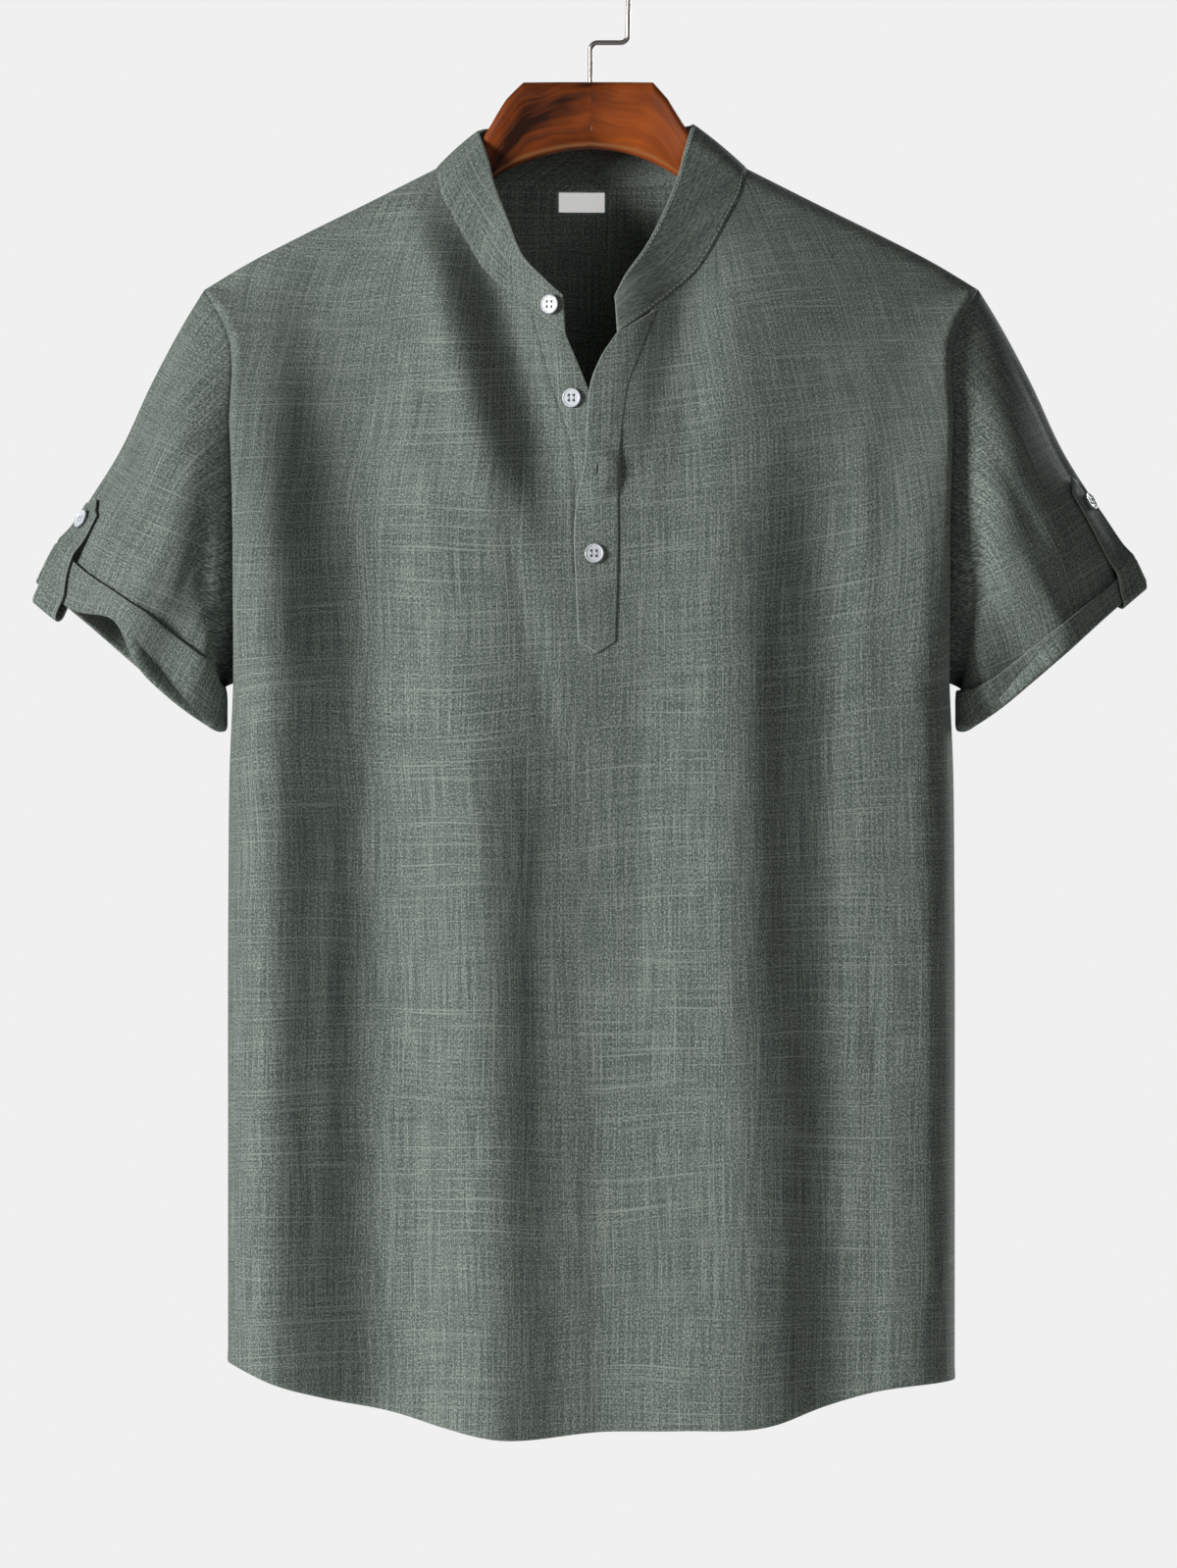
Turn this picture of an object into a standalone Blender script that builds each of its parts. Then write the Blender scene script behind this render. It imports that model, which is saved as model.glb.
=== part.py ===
"""Henley shirt hanging on a wooden hanger.

Frame: metres, +Z up. The origin is the point inside the hook that rests on a rail. The shirt faces -Y,
so +X is the wearer's left. Each cut piece of cloth is a sheet of points on the garment's form, thickened
to a wall along the sheet's normals. Pieces that are sewn together share their seam points and the normals
there, so their walls meet edge to edge with SEAM_GAP between them.
"""
import math

import bmesh
import bpy
import numpy as np
from mathutils import Matrix, Vector

# ---------------------------------------------------------------- driving dimensions
CLOTH = 0.0012            # wall of one layer of cloth
SEAM_GAP = 0.0003         # each piece is drawn back this far along a seam
LAY_GAP = 0.0008          # under a piece that lies on another

UNDERARM_Z = -0.4240
SLIT_END_Z = -0.3620      # lower end of the placket slit
CENTRE_X = 0.0015         # the front's middle line below the slit
ARM_ROUND = 0.011         # half depth of the cloth over the hanger's arm
ARM_ROUND_H = 0.009       # height in which the cloth reaches that depth
SHOULDER_FALL = 0.045     # height in which the cloth fills out below the shoulder
ARMHOLE_FRONT = 0.042     # how far the armhole reaches forward
ARMHOLE_BACK = 0.054      # and back
ARMHOLE_FADE = 0.018      # how far in from the armhole its reach shapes the panel

BUTTON_R = 0.00575
BUTTON_T = 0.0021
BUTTON_HOLE_R = 0.00075
BUTTON_HOLE_AT = 0.00125  # of each hole from the button's axes
CURVED_LIFT = 0.0003      # a button on the collar or a tab sits higher, as the cloth is curved under it
WIRE_R = 0.0014           # hook wire
HOOK_R = 0.0218           # centre line of the hook's arc
HOOK_SHANK_X = -0.0006    # the shank stands on the hanger's joint
HOOK_KINK_Z = -0.0500     # where the wire steps sideways from the shank to the arc
HOOK_CORNER_R = 0.0042
HOOK_END_ANGLE = 184      # of the arc, in degrees from its lower right end
SHANK_LOW_Z = -0.0970     # the shank's end in the wood
BORE_Z = (-0.0980, -0.0600)
BORE_R = WIRE_R + 0.0003

ARMHOLE_ROWS = 12         # rows of points from the shoulder to the underarm
BODY_ROWS = 13            # from the underarm to the hem
SHOULDER_COLUMNS = 8      # along one shoulder
NECK_COLUMNS = 8          # along one side of the neckline
NECK_CROWD = 1.3          # above 1, the neckline's points crowd toward the shoulder
BOTTOM_SPACING_BY = 0.87  # share of the armhole's height in which the columns take the hem's spacing

SHOULDER = (  # |x|, z of the shoulder seam, from the collar to the sleeve
    (0.0905, -0.1240),
    (0.1337, -0.1457),
    (0.1687, -0.1630),
    (0.2019, -0.1803),
    (0.2262, -0.1950),
)
NECK_POINT, SHOULDER_TIP = SHOULDER[0], SHOULDER[-1]
SHOULDER_SLOPE = 0.50     # of the seam's line where it is carried on inside the collar

# The torso's tube: half width, and how far its middle stands forward and back.
TORSO = (  # z, half_width, front_depth, back_depth, squareness
    (-0.1240, 0.2262, 0.046, 0.045, 1.10),
    (-0.1950, 0.2262, 0.056, 0.052, 0.80),
    (-0.2140, 0.2150, 0.060, 0.056, 0.60),
    (-0.2770, 0.2106, 0.068, 0.062, 0.36),
    (-0.3570, 0.2085, 0.073, 0.064, 0.29),
    (-0.4240, 0.2085, 0.076, 0.064, 0.26),
    (-0.4700, 0.2104, 0.078, 0.063, 0.25),
    (-0.5500, 0.2113, 0.080, 0.062, 0.26),
    (-0.7000, 0.2115, 0.082, 0.063, 0.28),
    (-0.8650, 0.2115, 0.084, 0.066, 0.30),
)
HEM_HALF_WIDTH = 0.2115
HEM_FRONT = (  # x, z
    (-0.2115, -0.8199),
    (-0.1830, -0.8325),
    (-0.1555, -0.8400),
    (-0.1140, -0.8486),
    (-0.0866, -0.8566),
    (-0.0591, -0.8629),
    (+0.0098, -0.8589),
    (+0.0511, -0.8583),
    (+0.1061, -0.8549),
    (+0.1337, -0.8451),
    (+0.1612, -0.8371),
    (+0.2115, -0.8302),
)
HEM_BACK = (  # x, z
    (-0.2115, -0.8199),
    (-0.1500, -0.8369),
    (-0.0700, -0.8539),
    (+0.0700, -0.8539),
    (+0.1500, -0.8409),
    (+0.2115, -0.8302),
)

# Neckline from the neck point down to the front, and the collar band's upper edge above it.
NECK_FRONT = (  # |x|, z
    (0.0905, -0.1240),
    (0.0878, -0.1385),
    (0.0812, -0.1520),
    (0.0690, -0.1745),
    (0.0585, -0.1885),
    (0.0345, -0.2080),
)
NECK_CORNER = (0.0149, -0.2223)     # |x|, z of the band's front ends
NECK_BACK = (  # |x|, z
    (0.0905, -0.1240),
    (0.0780, -0.1305),
    (0.0550, -0.1335),
    (0.0000, -0.1345),
)

# Folds: lines down the sheet, ridges out (+) or troughs in (-). `fades` is 1 where the lower end dies out.
FOLD_IN = 0.3             # share of a fold's length in which it rises
FOLD_OUT = 0.4            # and in which a fading one dies out
FOLD_START = 0.020        # height below the shoulder in which all folds begin
FOLD_SIDE_POWER = 16      # how late across the panel they flatten toward its side
FRONT_FOLDS = (  # x_top, z_top, x_low, z_low, half_width, height, fades
    (-0.1930, -0.1300, -0.1900, -0.8700, 0.022, +0.0080, 0),    # by the wearer's right side
    (-0.1360, -0.1100, -0.1140, -0.8700, 0.038, -0.0180, 0),
    (-0.0740, -0.3600, -0.0580, -0.8700, 0.032, +0.0110, 0),
    (-0.0060, -0.4000, +0.0010, -0.8700, 0.040, -0.0060, 0),
    (+0.0780, -0.2000, +0.0930, -0.8700, 0.036, +0.0115, 0),
    (+0.1260, -0.2000, +0.1400, -0.8700, 0.024, -0.0080, 0),
    (+0.2080, -0.1600, +0.2140, -0.8700, 0.027, +0.0095, 0),    # by the wearer's left side
    (-0.1650, -0.1300, -0.1560, -0.4200, 0.020, -0.0040, 1),
    (-0.0990, -0.1300, -0.0400, -0.3700, 0.018, +0.0070, 1),    # pull from the collar to the buttons
    (-0.0640, -0.1400, -0.0010, -0.3700, 0.016, -0.0095, 1),
    (+0.0600, -0.1500, +0.0420, -0.3300, 0.020, -0.0085, 1),
)
BACK_FOLDS = (  # x_top, z_top, x_low, z_low, half_width, height, fades
    (-0.1500, -0.2800, -0.1560, -0.8700, 0.028, +0.0090, 0),
    (-0.0900, -0.2300, -0.0840, -0.8700, 0.024, -0.0070, 0),
    (-0.0200, -0.3000, -0.0100, -0.8700, 0.030, +0.0100, 0),
    (+0.0700, -0.2400, +0.0780, -0.8700, 0.026, -0.0080, 0),
    (+0.1380, -0.3100, +0.1450, -0.8700, 0.027, +0.0100, 0),
)

# Placket strips, station by station from the collar down.
PLACKET_UNDER = (  # left_x, left_z, right_x, right_z
    (-0.0345, -0.2080, -0.0149, -0.2223),
    (-0.0240, -0.2480, -0.0011, -0.2562),
    (-0.0110, -0.2900, +0.0100, -0.2900),
    (-0.0092, -0.3300, +0.0108, -0.3300),
    (-0.0086, -0.3620, +0.0108, -0.3600),
)
PLACKET_TOP = (  # left_x, left_z, right_x, right_z
    (+0.0143, -0.2223, +0.0375, -0.2080),
    (+0.0052, -0.2370, +0.0275, -0.2344),
    (-0.0011, -0.2562, +0.0200, -0.2562),
    (-0.0034, -0.2946, +0.0156, -0.2946),
    (-0.0080, -0.3176, +0.0150, -0.3176),
    (-0.0098, -0.3400, +0.0152, -0.3400),
    (-0.0086, -0.3692, +0.0145, -0.3692),
    (-0.0075, -0.4008, +0.0135, -0.4008),
)
PLACKET_POINT = 0.0069    # how far the end's point reaches past its corners
PLACKET_LAP = 0.0030      # the upper strip's overlap on the front
OPEN_BUTTON = (-0.0109, -0.2596)    # x, z of the button on the lower strip
BUMP_AT = (0.0029, -0.3015)         # of the button under the upper strip
FASTENED_BUTTON = (0.0017, -0.3503) # and of the one on top of it
BUMP_R = (0.0075, 0.0190)           # the strip is lifted fully inside, and not at all beyond
BUMP_H = 0.0027
STRIP_ROWS = 24
STRIP_COLUMNS = 6

# Collar band: its upper edge, from the front corner round to the back.
BAND_ROWS = (0, 0.35, 0.7, 1)       # shares of its height
BAND_ROLL = 0.0012                  # how far it is rounded upward between its edges
BAND_TOP = (  # seam_x, seam_z, right_x, right_z, left_x, left_z, y  (the wearer's right and left)
    (0.0149, -0.2223, 0.0165, -0.1995, 0.0134, -0.2000, -0.0560),
    (0.0345, -0.2080, 0.0270, -0.1900, 0.0200, -0.1870, -0.0545),
    (0.0585, -0.1885, 0.0400, -0.1760, 0.0320, -0.1700, -0.0490),
    (0.0690, -0.1745, 0.0480, -0.1560, 0.0420, -0.1500, -0.0410),
    (0.0812, -0.1520, 0.0560, -0.1350, 0.0500, -0.1300, -0.0290),
    (0.0878, -0.1385, 0.0600, -0.1190, 0.0540, -0.1140, -0.0180),
    (0.0893, -0.1312, 0.0630, -0.1100, 0.0565, -0.1055, -0.0120),
    (0.0905, -0.1240, 0.0660, -0.1020, 0.0590, -0.0980, -0.0005),
)
BAND_TOP_BACK = (  # seam_x, seam_z, right_x, right_z, left_x, left_z, y
    (0.0905, -0.1240, 0.0660, -0.1020, 0.0590, -0.0980, -0.0005),
    (0.0780, -0.1305, 0.0600, -0.1000, 0.0560, -0.0985, +0.0130),
    (0.0550, -0.1335, 0.0450, -0.0995, 0.0430, -0.0990, +0.0235),
    (0.0000, -0.1345, 0.0000, -0.1000, 0.0000, -0.1000, +0.0300),
)

# Sleeves: the upper ridge, the underarm line and the half depths, from the armhole to the cuff.
SLEEVE = (  # along, upper_x, upper_z, under_x, under_z, front_depth, back_depth
    (0.00, 0.2262, -0.1950, 0.2085, -0.4240, 0.042, 0.054),
    (0.10, 0.2372, -0.2130, 0.2150, -0.4270, 0.049, 0.055),
    (0.30, 0.2560, -0.2480, 0.2165, -0.4325, 0.058, 0.054),
    (0.55, 0.2775, -0.2930, 0.2165, -0.4400, 0.058, 0.052),
    (0.72, 0.2985, -0.3260, 0.2165, -0.4450, 0.053, 0.049),
    (0.86, 0.3130, -0.3490, 0.2165, -0.4490, 0.049, 0.047),
    (1.00, 0.3213, -0.3659, 0.2168, -0.4508, 0.046, 0.046),
)
EDGE_SAG = 0.008          # how far the cuff's edge bows down toward the underarm
SLEEVE_FOLDS = (  # around, from_along, to_along, half_width, height
    (0.13, 0.05, 0.90, 0.045, +0.0040),
    (0.30, 0.00, 0.95, 0.050, -0.0080),
    (0.44, 0.15, 0.95, 0.035, +0.0040),
    (0.70, 0.10, 0.95, 0.055, -0.0060),
    (0.86, 0.05, 0.90, 0.045, +0.0035),
)
SLEEVE_ROWS = 9
RIDGE_FOLD = 0.7          # how sharply the upper ridge is folded near the cuff
RIDGE_FOLD_BY = 0.7       # and the share of the sleeve in which that comes in
PRESSED = 3.0             # how flat the sleeve is pressed beside that ridge, by the cuff
PRESSED_FROM = 0.6        # share of the sleeve's length where that begins
PRESSED_POWER = 0.45      # below 1, it comes in quickly beside the ridge
SLEEVE_FOLD_IN = 0.3
SLEEVE_FOLD_OUT = 0.15
CUFF_SHARE = 0.55         # the cuff covers at most this share of the sleeve's length
CUFF_TURN_R = 0.0016      # half the distance between the cuff's two layers
CUFF = {  # wearer's side: cuff_height, how far the front of its edge is lifted
    -1: (0.031, 0.014),
    +1: (0.019, 0.000),
}
LIFT_AROUND = 0.21        # where round the cuff that lift is
LIFT_WIDTH = 0.045
LIFT_FROM = 0.72          # share of the sleeve's length above which there is none
LIFT_LOST = 0.5           # share of it that the cuff's upper edge doesn't follow
TAB_GAP = 0.0011          # between the tab and the sleeve
TAB_TOP = {-1: 0.062, +1: 0.074}        # the tab's point, up from the cuff's edge
TAB_POINT = 0.0045
TAB_DROP = {-1: 0.0080, +1: 0.0005}     # its loop hangs this far below the cuff's edge
TAB_INSIDE = 0.020        # and how far it runs up inside
TAB_AROUND = {  # wearer's side: share of the ring at the cuff's edge, and at the tab's point
    -1: (0.085, 0.062),
    +1: (0.074, 0.066),
}
TAB_W = 0.0205
TAB_PROBE = 0.03          # share of the ring to each side over which its width is laid off
TAB_BUTTON = {-1: 0.0505, +1: 0.0605}    # its button, up from the cuff's edge
TAB_STEP = ((0.004, 1.0), (0.012, 0.2), (0.018, 0.0))   # above the cuff's top, share of the cuff's rise left

# Hanger: one half's profile from the joint outward.
HANGER = (  # x, top_z, bottom_z, half_thickness
    (0.0000, -0.0732, -0.1122, 0.0095),
    (0.0200, -0.0732, -0.1148, 0.0095),
    (0.0361, -0.0734, -0.1205, 0.0095),
    (0.0448, -0.0832, -0.1250, 0.0092),
    (0.0540, -0.0980, -0.1310, 0.0086),
    (0.0660, -0.1150, -0.1385, 0.0082),
    (0.0800, -0.1240, -0.1465, 0.0078),
    (0.0950, -0.1282, -0.1535, 0.0074),
    (0.1300, -0.1454, -0.1670, 0.0068),
    (0.1600, -0.1603, -0.1800, 0.0062),
    (0.1800, -0.1706, -0.1870, 0.0054),
    (0.1890, -0.1780, -0.1870, 0.0036),
)
EDGE_ROUND = (0.6, 1.0)   # of the wood's section, at the joint and in the arms (1 is an ellipse)
EDGE_ROUND_X = (0.050, 0.090)        # and where along the arm that changes
NECK_STEP = {-1: 0.0050, +1: 0.0}    # each half's shoulder by the neck stands this much further out
NECK_STEP_X = 0.048
NECK_STEP_W = 0.022
WOOD_SIDES = 12
WOOD_SECTIONS = 22
LABEL = (-0.0189, 0.0075, -0.1366, -0.1476)   # x from, x to, z from, z to

# ---------------------------------------------------------------- helpers


def curve(stations, values, at):
    """A smooth line through a table's rows: cubic pieces, with the slopes of its chords."""
    stations = np.asarray(stations, float)
    values = np.asarray(values, float)
    slopes = np.gradient(values, stations)
    at = np.clip(at, stations[0], stations[-1])
    i = np.clip(np.searchsorted(stations, at, side="right") - 1, 0, len(stations) - 2)
    step = stations[i + 1] - stations[i]
    t = (at - stations[i]) / step
    from_start = (2 * t ** 3 - 3 * t ** 2 + 1) * values[i] + (t ** 3 - 2 * t ** 2 + t) * step * slopes[i]
    to_end = (3 * t ** 2 - 2 * t ** 3) * values[i + 1] + (t ** 3 - t ** 2) * step * slopes[i + 1]
    return from_start + to_end


def column(table, index):
    """One named column of a table."""
    return [row[index] for row in table]


def smooth(t):
    """0 to 1 with flat ends."""
    t = np.clip(t, 0.0, 1.0)
    return t * t * (3 - 2 * t)


def falling(table, index, z):
    """A column of a table whose first column is a height that falls from row to row."""
    return curve([-height for height in column(table, 0)], column(table, index), -np.asarray(z, float))


def folds(table, x, z):
    """Height of all of a table's folds at x, z: a bell across each line, faded in from its top."""
    total = np.zeros(np.broadcast(x, z).shape)
    for x_top, z_top, x_low, z_low, half_width, height, fades in table:
        along = (z_top - z) / (z_top - z_low)
        line = x_top + (x_low - x_top) * np.clip(along, 0, 1)
        strength = smooth(along / FOLD_IN) * (1 - fades * smooth((along - 1 + FOLD_OUT) / FOLD_OUT))
        total += height * strength * np.exp(-((x - line) / half_width) ** 2)
    return total


def shoulder_z(x):
    """The shoulder line, carried on to the middle as a guide for the form under it."""
    inside = np.maximum(NECK_POINT[0] - np.abs(x), 0)
    return curve(column(SHOULDER, 0), column(SHOULDER, 1), np.abs(x)) + SHOULDER_SLOPE * inside


def armhole_reach(z, front):
    """How far the armhole stands forward or back at a height: half an ellipse."""
    down = np.clip((SHOULDER_TIP[1] - z) / (SHOULDER_TIP[1] - UNDERARM_Z), 0, 1)
    return (ARMHOLE_FRONT if front else ARMHOLE_BACK) * np.sqrt(1 - (2 * down - 1) ** 2)


def torso_y(x, z, front):
    """Depth of the front or back sheet at x, z."""
    x, z = np.broadcast_arrays(np.asarray(x, float), np.asarray(z, float))
    across = np.clip(np.abs(x) / falling(TORSO, 1, z), 0, 1)
    level = np.sqrt(1 - across ** 2)
    depth = falling(TORSO, 2 if front else 3, z)
    reach = armhole_reach(z, front)
    below = np.maximum(shoulder_z(x) - z, 0)
    over_arm = np.sqrt(1 - (1 - np.minimum(below / ARM_ROUND_H, 1)) ** 2)
    filled = 1 - np.exp(-below / SHOULDER_FALL)
    at_edge = np.exp(-(1 - across) * falling(TORSO, 1, z) / ARMHOLE_FADE)
    body = (depth - ARM_ROUND) * level ** falling(TORSO, 4, z) * filled
    body = body * (1 - reach / depth * at_edge)
    creases = folds(FRONT_FOLDS if front else BACK_FOLDS, x, z)
    creases = creases * (1 - across ** FOLD_SIDE_POWER) * (1 - np.exp(-below / FOLD_START))
    out = reach * at_edge + ARM_ROUND * np.sqrt(level) * over_arm + body + creases
    return -out if front else out


def stack(x, y, z):
    """Points from their coordinates."""
    return np.stack(np.broadcast_arrays(x, y, z), axis=-1).astype(float)


def cosine_rows(count):
    """0 to 1, closer together at both ends, as an ellipse is stepped round."""
    return (1 - np.cos(np.linspace(0, math.pi, count + 1))) / 2


def grid_faces(index, closed=False):
    """Quads of a grid of point numbers; closed joins the last column to the first."""
    if closed:
        index = np.concatenate([index, index[:, :1]], axis=1)
    return np.stack([index[:-1, :-1], index[1:, :-1], index[1:, 1:], index[:-1, 1:]], -1).reshape(-1, 4)


# ---------------------------------------------------------------- sheets and walls


class Sheet:
    """The middle surface of one piece of cloth: points, and quads that face outward."""

    def __init__(self, points, faces, color, thickness=CLOTH, sewn=True):
        self.points = np.asarray(points, float)
        self.faces = np.asarray(faces, int)
        self.color = color
        self.thickness = thickness
        self.sewn = sewn
        self.normals = self.point_normals()

    def point_normals(self):
        corner = self.points[self.faces]
        across = np.cross(corner[:, 2] - corner[:, 0], corner[:, 3] - corner[:, 1])
        total = np.zeros_like(self.points)
        for k in range(4):
            np.add.at(total, self.faces[:, k], across)
        return total / np.linalg.norm(total, axis=1, keepdims=True)

    def rim(self):
        """Directed edges that belong to one quad only."""
        edges = np.concatenate([self.faces[:, [k, (k + 1) % 4]] for k in range(4)])
        seen = {(a, b) for a, b in edges.tolist()}
        return np.array([(a, b) for a, b in edges.tolist() if (b, a) not in seen])

    def pull_in_rim(self):
        """Draw the rim back, toward the middles of its quads."""
        middles = self.points[self.faces].mean(axis=1)
        total = np.zeros_like(self.points)
        count = np.zeros(len(self.points))
        for k in range(4):
            np.add.at(total, self.faces[:, k], middles)
            np.add.at(count, self.faces[:, k], 1)
        rim = np.unique(self.rim())
        inward = total[rim] / count[rim, None] - self.points[rim]
        inward -= (inward * self.normals[rim]).sum(axis=1, keepdims=True) * self.normals[rim]
        inward /= np.linalg.norm(inward, axis=1, keepdims=True)
        self.points[rim] += inward * SEAM_GAP

    def wall(self):
        """Points and faces of the closed wall."""
        half = self.normals * self.thickness / 2
        points = np.concatenate([self.points + half, self.points - half])
        count = len(self.points)
        faces = self.faces.tolist() + (self.faces[:, ::-1] + count).tolist()
        faces += [(b, a, a + count, b + count) for a, b in self.rim().tolist()]
        return points, faces


def share_seam_normals(sheets):
    """Give points that lie on each other the mean of their sheets' normals."""
    shared = {}
    for sheet in sheets:
        for i in np.unique(sheet.rim()):
            shared.setdefault(tuple(np.round(sheet.points[i], 5)), []).append((sheet, i))
    for users in shared.values():
        mean = sum(sheet.normals[i] for sheet, i in users)
        for sheet, i in users:
            sheet.normals[i] = mean / np.linalg.norm(mean)


# ---------------------------------------------------------------- front and back


def neck_line(table, count):
    """Points from the neck point along one side of the neckline, closest together at the shoulder."""
    run = np.linspace(0, 1, len(table))
    at = np.linspace(0, 1, count + 1) ** NECK_CROWD
    return curve(run, column(table, 0), at), curve(run, column(table, 1), at)


def inner_edge(table, index, z):
    """x of a placket strip's edge at a height."""
    return curve([-height for height in column(table, index + 1)], column(table, index), -z)


def half_panel(side, front):
    """One side of the front or back: rows from the top edge to the hem, columns from middle to side."""
    neck_x, neck_z = neck_line(NECK_FRONT if front else NECK_BACK, NECK_COLUMNS)
    shoulder_x = np.linspace(NECK_POINT[0], SHOULDER_TIP[0], SHOULDER_COLUMNS + 1)[1:]
    top_x = np.concatenate([neck_x[::-1], shoulder_x])
    top_z = np.concatenate([neck_z[::-1], shoulder_z(shoulder_x)])

    out = np.linspace(0, 1, len(top_x))
    middle_z = SLIT_END_Z if front else UNDERARM_Z
    mid_z = middle_z + (UNDERARM_Z - middle_z) * out
    upper = cosine_rows(ARMHOLE_ROWS)[:, None]
    lower = np.linspace(0, 1, BODY_ROWS + 1)[1:, None]

    inner_x = CENTRE_X * side if front else 0.0
    hem_angle = np.linspace(math.asin(inner_x / HEM_HALF_WIDTH), math.pi / 2, len(top_x))
    low_across = np.sin(hem_angle)
    hem = HEM_FRONT if front else HEM_BACK
    hem_z = curve(column(hem, 0), column(hem, 1), side * HEM_HALF_WIDTH * low_across)
    z = np.concatenate([top_z + (mid_z - top_z) * upper, mid_z + (hem_z - mid_z) * lower])

    middle = np.full(len(z), inner_x)
    if front:
        slit = slice(0, ARMHOLE_ROWS + 1)
        if side < 0:
            middle[slit] = -inner_edge(PLACKET_UNDER, 0, z[slit, 0])
        else:
            middle[slit] = inner_edge(PLACKET_TOP, 2, z[slit, 0]) - PLACKET_LAP
    width = falling(TORSO, 1, z)
    inner = (middle / width[:, 0])[:, None]
    top_share = (top_x / width[0] - inner[0]) / (1 - inner[0])
    top_share[0] = 0.0
    low_share = (low_across - low_across[0]) / (1 - low_across[0])
    drop = smooth(np.concatenate([upper, np.ones_like(lower)]) / BOTTOM_SPACING_BY)
    share = top_share + (low_share - top_share) * drop
    x = side * width * (inner + (1 - inner) * share)
    return stack(x, torso_y(x, z, front), z)


def panel(front, color):
    """Front or back sheet from its two sides; the front's stay apart along the slit."""
    right = half_panel(-1, front)
    left = half_panel(+1, front)
    rows, columns = right.shape[:2]
    joined_from = ARMHOLE_ROWS + 1 if front else 0
    right_index = np.arange(rows * columns).reshape(rows, columns)
    left_index = right_index + rows * columns
    left_index[joined_from:, 0] = right_index[joined_from:, 0]
    flip = slice(None, None, -1) if front else slice(None)
    faces = np.concatenate([
        grid_faces(right_index[:, ::-1])[:, flip][:, ::-1],
        grid_faces(left_index)[:, flip][:, ::-1],
    ])
    points = np.concatenate([right.reshape(-1, 3), left.reshape(-1, 3)])
    used = np.unique(faces)
    renumber = np.full(len(points), -1)
    renumber[used] = np.arange(len(used))
    return Sheet(points[used], renumber[faces], color)


# ---------------------------------------------------------------- sleeves, cuffs and tabs


def edge_lift(around, side):
    """How far the front of the cuff's edge is lifted."""
    return CUFF[side][1] * np.exp(-((around - LIFT_AROUND) / LIFT_WIDTH) ** 2)


def sleeve_form(along, around, side):
    """A point of the sleeve: ellipse-like rings from the armhole to the cuff's edge.

    along 0 is the armhole and 1 the edge; around 0 is the upper ridge, 0.25 the front, 0.5 the underarm.
    """
    along, around = np.broadcast_arrays(np.asarray(along, float), np.asarray(around, float))
    up_x, up_z, down_x, down_z, fore, aft = (curve(column(SLEEVE, 0), column(SLEEVE, k), along)
                                             for k in range(1, 7))
    turn = 2 * math.pi * around
    level = np.cos(turn)
    reach = np.where(np.sin(turn) > 0, fore, aft)
    ridge = 1 + RIDGE_FOLD * smooth(along / RIDGE_FOLD_BY) * (1 + level) / 2
    pressed = PRESSED * smooth((along - PRESSED_FROM) / (1 - PRESSED_FROM))
    ridge = ridge + np.where(level > 0, pressed * (1 - level) ** PRESSED_POWER, 0)
    x = (up_x + down_x) / 2 + (up_x - down_x) / 2 * level
    z = (up_z + down_z) / 2 + (up_z - down_z) / 2 * level
    y = -reach * np.sign(np.sin(turn)) * np.abs(np.sin(turn)) ** ridge
    armhole = (SHOULDER_TIP[1] + UNDERARM_Z) / 2 + (SHOULDER_TIP[1] - UNDERARM_Z) / 2 * level
    fade = (1 - along) ** 2
    x = x + (falling(TORSO, 1, armhole) - (SLEEVE[0][1] + SLEEVE[0][3]) / 2
             - (SLEEVE[0][1] - SLEEVE[0][3]) / 2 * level) * fade
    bulge = np.zeros(x.shape)
    for centre, start, end, half_width, height in SLEEVE_FOLDS:
        strength = smooth((along - start) / SLEEVE_FOLD_IN) * smooth((end - along) / SLEEVE_FOLD_OUT + 0.4)
        bulge += height * strength * np.exp(-((around - centre) / half_width) ** 2)
    bulge *= smooth(along / 0.2)
    x = x + bulge * 0.5 * level
    y = y - bulge * np.sin(turn)
    z = z + bulge * 0.5 * level
    sag = EDGE_SAG * (1 - level ** 2) * ((1 - level) / 2) ** 2 * smooth((along - 0.3) / 0.7)
    x = x + 0.6 * sag
    z = z - 0.8 * sag
    lift = edge_lift(around, side) * smooth((along - LIFT_FROM) / (1 - LIFT_FROM))
    x = x - 0.5 * lift
    z = z + 0.8 * lift
    return stack(side * x, y, z)


def sleeve_point(up, around, out, side):
    """A point `up` metres from the cuff's edge and `out` metres off the sleeve's form."""
    up, around = np.broadcast_arrays(np.asarray(up, float), np.asarray(around, float))
    step = 1e-3
    length = np.linalg.norm(sleeve_form(1.0, around, side) - sleeve_form(0.6, around, side), axis=-1) / 0.4
    along = np.clip(1 - up / length, 0, 1)
    here = sleeve_form(along, around, side)
    before = np.maximum(along - step, 0)
    down = sleeve_form(before + step, around, side) - sleeve_form(before, around, side)
    down /= np.linalg.norm(down, axis=-1, keepdims=True)
    round_it = sleeve_form(along, around + step, side) - sleeve_form(along, around - step, side)
    normal = np.cross(round_it, down) * side
    normal /= np.linalg.norm(normal, axis=-1, keepdims=True)
    past = np.maximum(-up, 0)[..., None]
    return here + normal * np.asarray(out)[..., None] + down * past


def turned_edge(radius, base, height_in, height_out, rows_out):
    """Path round the cuff's edge: up inside at `base`, round the edge, and up outside."""
    turn = np.linspace(0, math.pi, 5)
    inside = [(height_in, base)] if height_in else []
    path = inside + [(-radius * math.sin(a), base + radius * (1 - math.cos(a))) for a in turn]
    path += [(h, base + 2 * radius) for h in np.linspace(0, height_out, rows_out + 1)[1:]]
    return np.array(path)


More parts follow.
